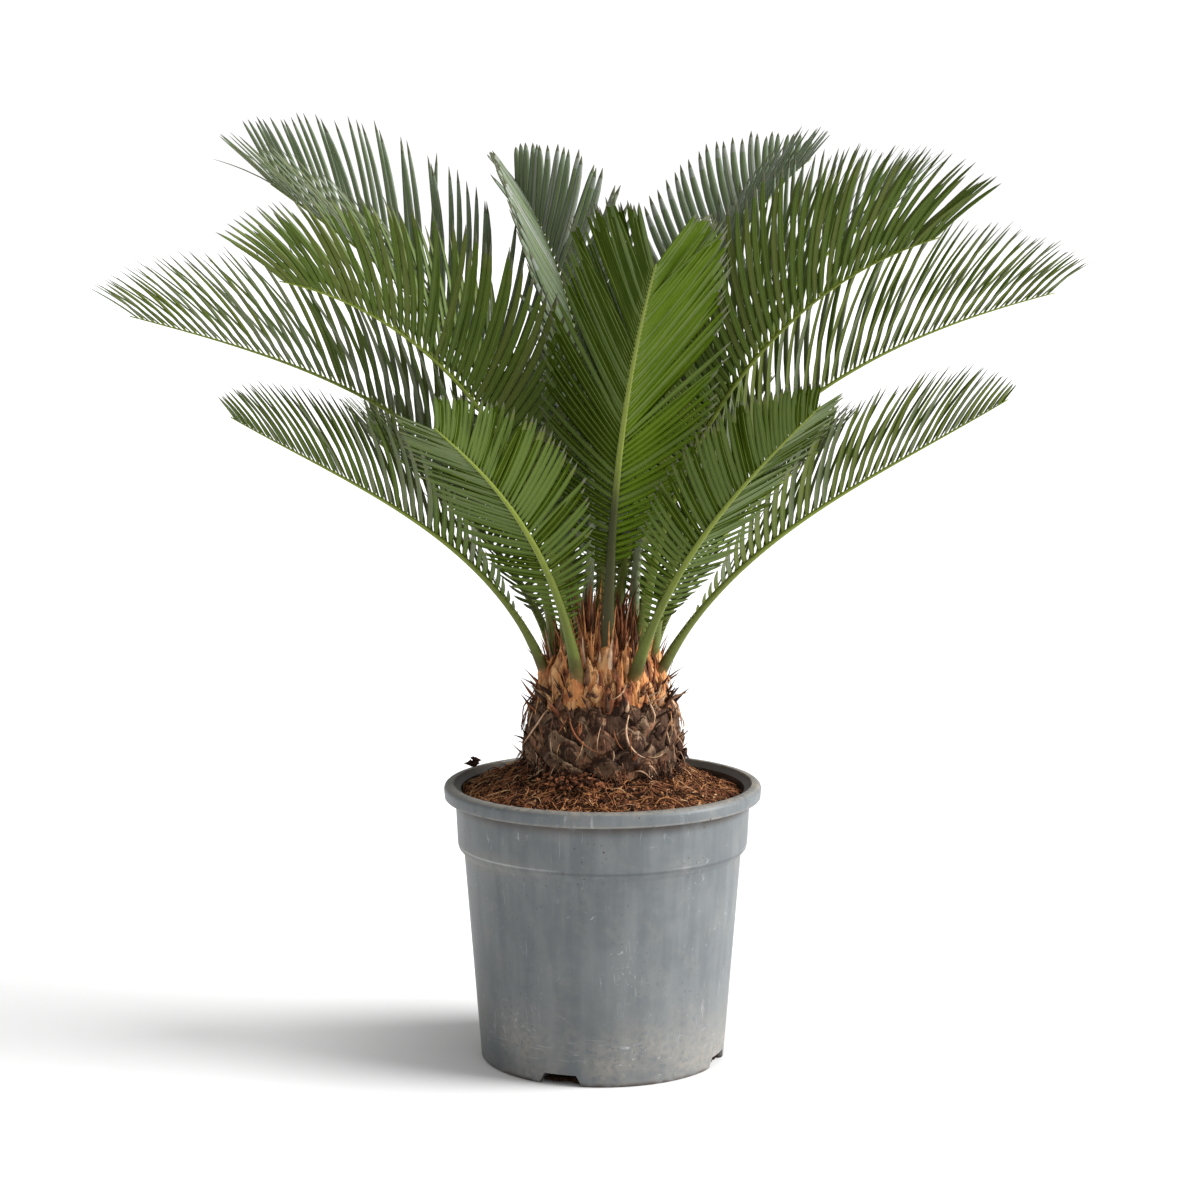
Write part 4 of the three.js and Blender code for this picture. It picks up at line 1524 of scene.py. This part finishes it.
    def _hanging_fibre(self, pile: Pile, kind: Hanging) -> None:
        """Adds one curled fibre that hangs over the scales, thinning to its end.

        Args:
            pile: what it is added to.
            kind: its kind.
        """
        rng = self.rng
        length = rng.uniform(*kind.lengths)
        height = rng.uniform(*kind.heights)
        thick = rng.uniform(*kind.radii)
        azimuth = rng.uniform(0, 360)
        steps = 12
        tilt = rng.normal(0, 0.45)
        turn = rng.normal(0, 0.07)
        lift = rng.uniform(0.0022, 0.0050)
        path = []
        for i in range(steps):
            bow = math.sin(math.pi * i / (steps - 1)) * length * 0.05
            path.append(outward(azimuth) * (self.radius(height) + lift + bow) + UP * height)
            azimuth += math.degrees(math.sin(tilt) * length / steps / 0.055)
            height = max(0.224, height - math.cos(tilt) * length / steps)
            tilt += turn
        radii = thick * np.sin(np.linspace(0.5, math.pi - 0.2, steps))
        tone = by_odds(rng, {Bark.STRAW: 0.36, Bark.TAN: 0.22, Bark.RED: 0.24, Bark.BROWN: 0.18})
        pile.skin(strand(np.array(path), radii, 5), tone)

    def _foot_fibre(self, pile: Pile) -> None:
        """Adds one dark strip that leans out from the trunk's foot and bends down onto the soil.

        Args:
            pile: what it is added to.
        """
        rng = self.rng
        azimuth = rng.uniform(0, 360)
        height = rng.uniform(0.222, 0.237)
        length = rng.uniform(0.010, 0.022)
        side = rng.normal(0, 0.9)
        drop = rng.uniform(0.5, 1.3)
        start = outward(azimuth) * (self.radius(height) - 0.0005)
        steps = 8
        path = []
        for i in range(steps):
            run = length * i / (steps - 1)
            place = start + outward(azimuth) * run * 0.42 + outward(azimuth + 90) * run * side * 0.6
            fallen = height + run * 0.25 - drop * run * run / length
            path.append(place + UP * max(fallen, 0.2225))
        radii = rng.uniform(0.0003, 0.0008) * np.sin(np.linspace(0.6, math.pi - 0.15, steps))
        tone = by_odds(rng, {Bark.DARK: 0.42, Bark.BROWN: 0.28, Bark.RED: 0.21, Bark.STRAW: 0.09})
        pile.skin(strand(np.array(path), radii, 4), tone)

    def _scales(self) -> Pile:
        """The old leaf bases, row by row; every other row is shifted by half a place.

        Returns:
            The scales.
        """
        scales = Pile()
        for number, row in enumerate(self.rows):
            for i in range(row.count):
                azimuth = (i + (number % 2) / 2) * 360 / row.count + self.rng.normal(0, 4)
                self._scale(scales, azimuth, row)
        return scales

    def _torn_flakes(self) -> Pile:
        """The torn flakes round the shoulder.

        Returns:
            The flakes.
        """
        flakes = Pile()
        for _ in range(self.flakes):
            self._flake(flakes)
        return flakes

    def _loose_fibres(self) -> Pile:
        """The fibres that hang over the scales and those at the foot.

        Returns:
            The fibres.
        """
        fibres = Pile()
        for kind in self.hanging:
            for _ in range(kind.count):
                self._hanging_fibre(fibres, kind)
        for _ in range(self.foot_fibres):
            self._foot_fibre(fibres)
        return fibres

    def build(self, finishes: Finishes) -> None:
        """Makes the core and everything that grows on it.

        Args:
            finishes: the plant's materials.
        """
        fit(self._core().made("trunk_core", finishes.barks), "trunk", "trunk")
        fit(self._scales().made("trunk_scales", finishes.barks), "trunk")
        fit(self._torn_flakes().made("trunk_flakes", finishes.barks), "trunk")
        fit(self._crown_spikes().made("crown_spikes", finishes.barks), "trunk")
        fit(self._side_needles().made("trunk_needles", finishes.barks), "trunk")
        fit(self._loose_fibres().made("trunk_fibres", finishes.barks), "trunk")


# ---------------------------------------------------------------- fronds


@dataclass(frozen=True)
class Growth:
    """How a frond grows: lengths in metres, angles in degrees.

    rise, middle and tip are the rib's angles above the horizon. leaflet is the longest leaflets' length and
    last the share of it that the last ones have. lean is the angle between the first leaflets and the rib,
    keel the angle by which the rows stand up out of the flat, pairs the leaflets in each row, and roll how
    far the rows have turned about the rib.
    """

    seat: float
    length: float
    rise: float
    middle: float
    tip: float
    leaflet: float
    last: float
    lean: float
    keel: float
    pairs: int = 44
    roll: float = 0.0


class Tier(Enum):
    """The three tiers of fronds."""

    TOP = Growth(0.024, 0.430, rise=86, middle=66, tip=26, leaflet=0.100, last=0.32, lean=72, keel=52)
    MID = Growth(0.031, 0.410, rise=78, middle=45, tip=12, leaflet=0.120, last=0.50, lean=80, keel=56)
    LOW = Growth(
        0.043, 0.315, rise=69, middle=36, tip=30, leaflet=0.090, last=0.46, lean=80, keel=50, pairs=38,
    )


@dataclass(frozen=True)
class RibPlace:
    """A place on a rib: a point and its three directions."""

    point: np.ndarray
    along: np.ndarray
    across: np.ndarray
    up: np.ndarray


@dataclass
class Frond:
    """One frond: a stalk that tapers into the rib, and two rows of leaflets."""

    name: str
    azimuth: float
    growth: Growth
    trunk: Trunk
    dress: Dress
    line_steps: int = 36
    rib_rings: int = 44
    rib_sides: int = 12
    rib_flatness: float = 0.62
    spines: int = 18
    foot_radius: float = 0.0058
    stalk_radius: float = 0.0041
    stalk_at: float = 0.1
    tip_radius: float = 0.0005
    taper: float = 0.6
    sunk: float = 0.009
    first_at: float = 0.17
    last_at: float = 0.985
    first_share: float = 0.16
    longest_from: float = 0.45
    longest_to: float = 0.6
    lean_at_tip: float = 30.0
    rolled_by: float = 0.35
    keel_at_foot: float = 12.0
    keel_from: float = 0.4
    inner_until: float = 0.7
    odd_share: float = 0.05
    other_share: float = 0.28
    blade_thickness: float = 0.0006
    blade_steps: tuple[float, ...] = (0, 0.03, 0.10, 0.22, 0.38, 0.55, 0.70, 0.82, 0.92, 1.0)
    width_steps: tuple[float, ...] = (0, 0.03, 0.1, 0.22, 0.6, 0.8, 0.92, 1)
    width_shares: tuple[float, ...] = (0.42, 0.56, 0.88, 1, 0.97, 0.8, 0.5, 0.06)

    def __post_init__(self) -> None:
        """Works out the rib's middle line and seeds the frond's own variation."""
        self.rng = np.random.default_rng(seed_of(self.name))
        self.line = self._rib_line()

    def _rib_line(self) -> list[RibPlace]:
        """The places along the rib, from foot to tip.

        Returns:
            One place for each end of a step.
        """
        growth = self.growth
        level = outward(self.azimuth)
        flat = np.cross(UP, level)
        point = level * growth.seat
        point[2] = self.trunk.crown_height(growth.seat)
        line = []
        for share in np.arange(self.line_steps + 1) / self.line_steps:
            climb = math.radians(through_three(growth.rise, growth.middle, growth.tip, share))
            roll = math.radians(growth.roll * min(1, share / self.rolled_by))
            along = level * math.cos(climb) + UP * math.sin(climb)
            across = flat * math.cos(roll) + np.cross(along, flat) * math.sin(roll)
            line.append(RibPlace(point, along, across, np.cross(along, across)))
            point = point + along * growth.length / self.line_steps
        return line

    def at(self, share: float) -> RibPlace:
        """The place at a share of the rib's length.

        Args:
            share: the share, from 0 at the foot to 1.

        Returns:
            The place, between the two nearest ones of the line.
        """
        step = min(max(share, 0.0), 1.0) * self.line_steps
        index = min(int(step), self.line_steps - 1)
        one, two, part = self.line[index], self.line[index + 1], step - index
        return RibPlace(
            lerp(one.point, two.point, part),
            unit(lerp(one.along, two.along, part)),
            unit(lerp(one.across, two.across, part)),
            unit(lerp(one.up, two.up, part)),
        )

    def rib_radius(self, share: float) -> float:
        """Half the rib's width at a share of its length.

        Args:
            share: the share, from 0 at the foot to 1.

        Returns:
            The radius there.
        """
        if share < self.stalk_at:
            return lerp(self.foot_radius, self.stalk_radius, max(share, 0.0) / self.stalk_at)
        thinned = ((share - self.stalk_at) / (1 - self.stalk_at)) ** self.taper
        return lerp(self.stalk_radius, self.tip_radius, thinned)

    def length_share(self, row: float) -> float:
        """A leaflet's length at a share of its row, against the longest.

        Args:
            row: the share, from 0 to 1.

        Returns:
            The length, as a share of the longest one's.
        """
        grown = lerp(self.first_share, 1, math.sin(math.pi / 2 * min(1, row / self.longest_from)))
        ended = max(0.0, (row - self.longest_to) / (1 - self.longest_to)) ** 1.5
        return grown * lerp(1, self.growth.last, ended)

    def _rib(self) -> Pile:
        """The stalk and rib, flattened above, with short spines on the bare stalk.

        Returns:
            The rib.
        """
        rib = Pile()
        turn = round_turn(self.rib_sides)
        shape_across = np.cos(turn)
        shape_up = np.where(np.sin(turn) > 0, np.sin(turn) * self.rib_flatness, np.sin(turn))
        rings = []
        for share in np.concatenate([[-0.02], np.linspace(0, 1, self.rib_rings)]):
            place = self.at(share)
            radius = self.rib_radius(share)
            centre = place.point - place.along * (self.sunk if share < 0 else 0)
            ring = place.across * shape_across[:, None] * radius + place.up * shape_up[:, None] * radius
            rings.append(centre + ring)
        rib.skin(np.array(rings), 0)
        for i in range(self.spines):
            share = lerp(0.045, self.first_at, (i + self.rng.uniform(0, 0.7)) / self.spines)
            self._spine(rib, share, 1 if i % 2 else -1)
        return rib

    def _spine(self, rib: Pile, share: float, side: int) -> None:
        """Adds one short spine: a leaflet that stayed a point.

        Args:
            rib: what it is added to.
            share: its place along the rib.
            side: 1 or -1.
        """
        place = self.at(share)
        reach = lerp(0.0035, 0.011, max(0.0, (share - 0.08) / 0.09)) * self.rng.uniform(0.7, 1.2)
        heading = unit(place.across * side + place.up * 0.4 + place.along * 0.5)
        steps = np.linspace(0, 1, 4)
        start = place.point + place.across * side * self.rib_radius(share) * 0.7
        centre = start + np.outer(steps * reach, heading)
        rib.skin(strand(centre, 0.0008 * (1.02 - steps), 4), 0)

    def _leaflet(self, pile: Pile, row: float, side: int) -> None:
        """Adds one leaflet: a narrow folded blade that bends on towards the frond's tip.

        Args:
            pile: the frond's leaflets.
            row: its share of the way along its row.
            side: 1 or -1.
        """
        rng = self.rng
        odd = 4.0 if rng.random() < self.odd_share else 1.0
        share = lerp(self.first_at, self.last_at, row)
        place = self.at(share)
        length = self.growth.leaflet * self.length_share(row) * rng.uniform(0.96, 1.03)
        lean = lerp(self.growth.lean, self.lean_at_tip, row) + rng.normal(0, 0.8) * odd
        keel = lerp(self.keel_at_foot, self.growth.keel, min(1, row / self.keel_from))
        keel = math.radians(keel + rng.normal(0, 0.9) * odd)
        outer = place.across * side * math.cos(keel) + place.up * math.sin(keel)
        upper = place.up * math.cos(keel) - place.across * side * math.sin(keel)
        steps = np.array(self.blade_steps)
        bend = lerp(22, 14, row) + rng.normal(0, 1.5) * odd
        arch = math.radians(rng.normal(-3, 1.5) * odd)
        angle = np.radians(lean + bend * (0.3 - steps**1.3))
        heading = place.along * np.cos(angle)[:, None] + outer * np.sin(angle)[:, None]
        heading = unit(heading + upper * (np.sin(arch) * steps)[:, None])
        stride = np.diff(steps, prepend=0) * length
        radius = self.rib_radius(share)
        start = place.point - heading[0] * radius * 0.4 + place.up * radius * 0.25
        centre = start + np.cumsum(heading * stride[:, None], axis=0)
        risen = unit(place.up - heading * (heading @ place.up)[:, None])
        face = unit(lerp(upper, risen, self.dress.turned + rng.normal(0, 0.03)))
        twist = math.radians(rng.normal(0, 2.5) * odd)
        face = unit(face + np.cross(heading, face) * (math.sin(twist) * (1 - steps * 0.4))[:, None])
        slim = lerp(0.6, 1.0, min(1, 3.2 * row)) * lerp(1.0, 0.78, row**3)
        slim *= lerp(self.dress.inner, 1.0, min(1, row / self.inner_until))
        widths = np.interp(steps, self.width_steps, self.width_shares) * slim * self.dress.width
        thick = np.interp(steps, [0, 0.3, 1], [1.3, 1.0, 0.35]) * self.blade_thickness
        rings = blade(centre, face, widths, thick, section(LEAFLET_FACES, 0.22, 0.8))
        pile.skin(rings, self._leaflet_tones(len(steps) - 1, side))

    def _leaflet_tones(self, bands: int, side: int) -> np.ndarray:
        """The greens of a leaflet's faces, five across the upper side and then five under it.

        Args:
            bands: faces along the leaflet.
            side: 1 or -1.

        Returns:
            One number for each band and place on its ring.
        """
        dress = self.dress
        usual = dress.plus if side > 0 else dress.minus
        body = dress.other if self.rng.random() < self.other_share else usual
        outer_from = int(self.rng.integers(bands - 2, bands + 1))
        tones = np.full((bands, 2 * len(LEAFLET_FACES) - 2), body.number)
        tones[outer_from:, :] = dress.outer.number
        # The middle faces on both sides take the ridge green: partly the midrib's paler green, partly a
        # painted highlight.
        tones[: bands - 2, [2, 7]] = LeafTone.RIDGE.number
        tones[0, :] = LeafTone.FOOT.number
        tones[-1, :] = LeafTone.TIP.number
        return tones

    def _leaflets(self) -> Pile:
        """The two rows of leaflets, which stand half a step apart.

        Returns:
            The leaflets.
        """
        leaflets = Pile()
        for i in range(self.growth.pairs):
            for side, shift in ((1, 0.5), (-1, 0.0)):
                self._leaflet(leaflets, (i + shift) / (self.growth.pairs - 0.5), side)
        return leaflets

    def build(self, finishes: Finishes) -> None:
        """Makes the rib and the leaflets.

        Args:
            finishes: the plant's materials.
        """
        stalk = finishes.stalks[self.dress.stalk.number]
        fit(self._rib().made(f"{self.name}_rib", [stalk]), "frond", self.name)
        fit(self._leaflets().made(f"{self.name}_leaflets", finishes.leaves), "frond", self.name)


def seed_of(name: str) -> int:
    """A fixed number for a name, the same in every run."""
    return sum((i + 1) * ord(letter) for i, letter in enumerate(name))


# Each tier's fronds: the azimuth, the look, and what sets the growth apart from the tier's own.
PLANS: dict[Tier, tuple[tuple[float, Look, dict[str, float]], ...]] = {
    Tier.TOP: (
        (126, Look.PALE, dict(length=0.372, rise=101, middle=76, tip=38, roll=-16)),
        (92, Look.INNER, dict(seat=0.013, length=0.325, rise=70, middle=44, tip=12)),
        (68, Look.SIDE, dict(length=0.330, rise=72, middle=38, tip=8)),
        (52, Look.PALE, dict(seat=0.036, length=0.466, rise=88, middle=57, tip=22, roll=-6)),
    ),
    Tier.MID: (
        # The front frond, with painted light and shade on its two rows.
        (-84, Look.SUNNY, dict(pairs=60, length=0.428, middle=41, tip=26, leaflet=0.109, keel=51, roll=-10)),
        (-150, Look.LATTICE, dict(
            pairs=56, seat=0.029, length=0.384, rise=83, middle=50, tip=10, keel=60, roll=-6,
        )),
        (-28, Look.LATTICE, dict(pairs=56, rise=83, middle=53, tip=14, leaflet=0.128, keel=60, roll=8)),
        (179, Look.SIDE, dict(
            seat=0.035, length=0.434, rise=85.2, middle=31.8, tip=14.7, leaflet=0.126, last=0.34, lean=75,
            keel=48,
        )),
        (4, Look.SIDE, dict(
            seat=0.037, length=0.435, rise=84.6, middle=37.2, tip=13.3, last=0.34, lean=75, keel=60,
        )),
        (146, Look.HAZY, dict(
            pairs=52, length=0.475, rise=93, middle=43.7, tip=29, leaflet=0.126, keel=68, roll=-26,
        )),
        (28, Look.HAZY, dict(pairs=48, length=0.425, rise=80, middle=55, tip=20, leaflet=0.112)),
        (84, Look.SIDE, dict(seat=0.038, length=0.350, rise=64, middle=32, tip=2)),
    ),
    Tier.LOW: (
        (-115, Look.INNER, dict(
            pairs=48, length=0.310, rise=70, middle=38.7, tip=25.7, leaflet=0.066, last=0.55, lean=90,
            keel=28, roll=25,
        )),
        (-58, Look.INNER, dict(
            pairs=48, length=0.320, rise=62.7, middle=40.3, tip=33.3, leaflet=0.060, last=0.38, lean=90,
            keel=40, roll=-26,
        )),
        (193, Look.SIDE, dict(length=0.312, middle=34.5, tip=31, last=0.25, lean=68)),
        (-15, Look.SIDE, dict(
            length=0.338, rise=62.5, middle=34.6, tip=32, leaflet=0.095, last=0.18, lean=66,
        )),
        (142, Look.SIDE, dict(length=0.260)),
        (107, Look.SIDE, dict(length=0.300)),
        (62, Look.SIDE, dict(length=0.280)),
        (38, Look.SIDE, dict(length=0.250)),
    ),
}


@dataclass
class Crown:
    """All the fronds, in their three tiers, and the dry bases that they grow out of."""

    trunk: Trunk
    base_foot: float = 0.2710
    base_end: float = 0.022
    base_steps: int = 14
    seed: int = 41

    def __post_init__(self) -> None:
        """Seeds the variation."""
        self.rng = np.random.default_rng(self.seed)

    def fronds(self) -> list[Frond]:
        """The fronds, each named by its tier and its place in it.

        Returns:
            The fronds, from the top tier down.
        """
        fronds = []
        for tier, plans in PLANS.items():
            for number, (azimuth, look, own) in enumerate(plans, 1):
                name = f"{tier.name.lower()}_frond_{number}"
                fronds.append(Frond(name, azimuth, replace(tier.value, **own), self.trunk, look.value))
        return fronds

    def build(self, finishes: Finishes) -> None:
        """Makes every frond and its base.

        Args:
            finishes: the plant's materials.
        """
        fronds = self.fronds()
        for frond in fronds:
            frond.build(finishes)
        bases = Pile()
        for frond in fronds:
            self._base(bases, frond)
        fit(bases.made("frond_bases", finishes.barks), "trunk")

    def _base(self, pile: Pile, frond: Frond) -> None:
        """Adds the flat, torn base under one frond, from the trunk's shoulder to the green stalk.

        Args:
            pile: what it is added to.
            frond: the frond.
        """
        rng = self.rng
        share = np.linspace(0, 1, self.base_steps)
        low_height = self.base_foot + rng.uniform(-0.002, 0.004)
        low = outward(frond.azimuth + rng.normal(0, 4)) * (self.trunk.radius(low_height) - 0.0060)
        low[2] = low_height
        high = frond.at(self.base_end).point
        face = outward(frond.azimuth)
        centre = np.array([lerp(low, high, s) + face * 0.0010 * math.sin(math.pi * s) for s in share])
        centre[-2] = lerp(frond.line[0].point, high, 0.6)
        widths = np.interp(share, [0, 0.12, 0.35, 0.7, 1], [0.015, 0.022, 0.020, 0.0125, 0.0092])
        widths = widths * rng.uniform(0.88, 1.12, len(share)) * rng.uniform(0.85, 1.1)
        depths = np.interp(share, [0, 0.15, 0.6, 1], [0.0030, 0.0050, 0.0060, 0.0080])
        rings = blade(centre, face, widths, depths, section(SIX_FACES, 0.30))
        rings += pushed(rings, face, 0.3, 300, rng.uniform(0, 50), 0.0016)
        rings += rng.normal(0, 0.00025, rings.shape)
        pile.skin(rings, by_odds(rng, {Bark.TAN: 0.55, Bark.ORANGE: 0.45}))


# ---------------------------------------------------------------- studio


@dataclass
class Studio:
    """A pale floor, soft light from the right and the camera."""

    camera_place: tuple[float, float, float] = (-0.002, -2.23, 0.657)
    camera_pitch: float = -7.85
    lens: float = 90.0
    sky: float = 0.39
    seen_sky: float = 1.05
    floor_size: float = 60.0
    floor_drop: float = 0.0002
    floor_glow: float = 0.28
    shadow: Span = (0.094, 0.30)

    def build(self) -> None:
        """Makes the floor, the light and the camera."""
        self._floor()
        self._sky()
        self._light("key", azimuth=-9, elevation=28, strength=5.4, softness=38)
        self._light("fill", azimuth=-62, elevation=25, strength=0.5, softness=110)
        self._camera()

    def _floor(self) -> None:
        """A large pale floor just under the pot, which glows a little away from it: the glow is painted
        light, and its fading out near the pot is a painted shadow round the foot.
        """
        bpy.ops.mesh.primitive_plane_add(size=self.floor_size, location=(0, 0, -self.floor_drop))
        floor = bpy.context.object
        floor.name = "floor"
        paint = Painter(bpy.data.materials.new("studio_floor"))
        colour = paint.mix(paint.noise(3, 2), (0.86, 0.86, 0.86), (0.88, 0.88, 0.88))
        # Painted shadow: the floor's glow is almost nothing near the pot and full beyond the shadow span.
        glow = paint.mix(paint.place.length().rise(*self.shadow), (0.02, 0.02, 0.02), (1.0, 1.0, 1.0))
        others = {"Emission Color": glow, "Emission Strength": self.floor_glow}
        floor.data.materials.append(paint.finish(colour, 0.9, 0.1, others))

    def _sky(self) -> None:
        """An even white surround, seen as pure white."""
        world = bpy.data.worlds.new("surround")
        bpy.context.scene.world = world
        paint = Painter(world)
        seen = paint.wire("ShaderNodeLightPath", output="Is Camera Ray")
        level = paint.wire("ShaderNodeMapRange", None, {0: seen, 3: self.sky, 4: self.seen_sky})
        shine = paint.wire("ShaderNodeBackground", None, {"Color": (1.0, 1.0, 1.0, 1.0), "Strength": level})
        paint.node("ShaderNodeOutputWorld", None, {"Surface": shine})

    @staticmethod
    def _light(name: str, azimuth: float, elevation: float, strength: float, softness: float) -> None:
        """Adds one distant soft light.

        Args:
            name: the light's name.
            azimuth: where it comes from, in degrees.
            elevation: its height above the horizon, in degrees.
            strength: its power.
            softness: how wide it looks from the plant, in degrees.
        """
        lamp = bpy.data.lights.new(name, "SUN")
        lamp.energy = strength
        lamp.angle = math.radians(softness)
        made = bpy.data.objects.new(name, lamp)
        climb = math.radians(elevation)
        source = Vector(outward(azimuth) * math.cos(climb) + UP * math.sin(climb))
        made.rotation_euler = source.to_track_quat("Z", "Y").to_euler()
        bpy.context.scene.collection.objects.link(made)

    def _camera(self) -> None:
        """The camera, level with the crown and tipped down a little."""
        lens = bpy.data.cameras.new("camera")
        lens.lens = self.lens
        lens.sensor_width = 36.0
        lens.clip_end = 200.0
        made = bpy.data.objects.new("camera", lens)
        made.location = self.camera_place
        made.rotation_euler = (math.radians(90 + self.camera_pitch), 0, 0)
        bpy.context.scene.collection.objects.link(made)
        bpy.context.scene.camera = made
        bpy.context.scene.view_settings.view_transform = "Standard"


def write_sizes() -> None:
    """Updates the view layer."""
    bpy.context.view_layer.update()


def main() -> None:
    """Builds the plant from the pot up, then the studio."""
    logging.basicConfig(level=logging.INFO, format="%(message)s")
    finishes = Finishes()
    pot = NurseryPot()
    trunk = Trunk()
    pot.build(finishes)
    Soil(pot).build(finishes)
    trunk.build(finishes)
    Crown(trunk).build(finishes)
    Studio().build()
    write_sizes()


if __name__ == "__main__":
    main()
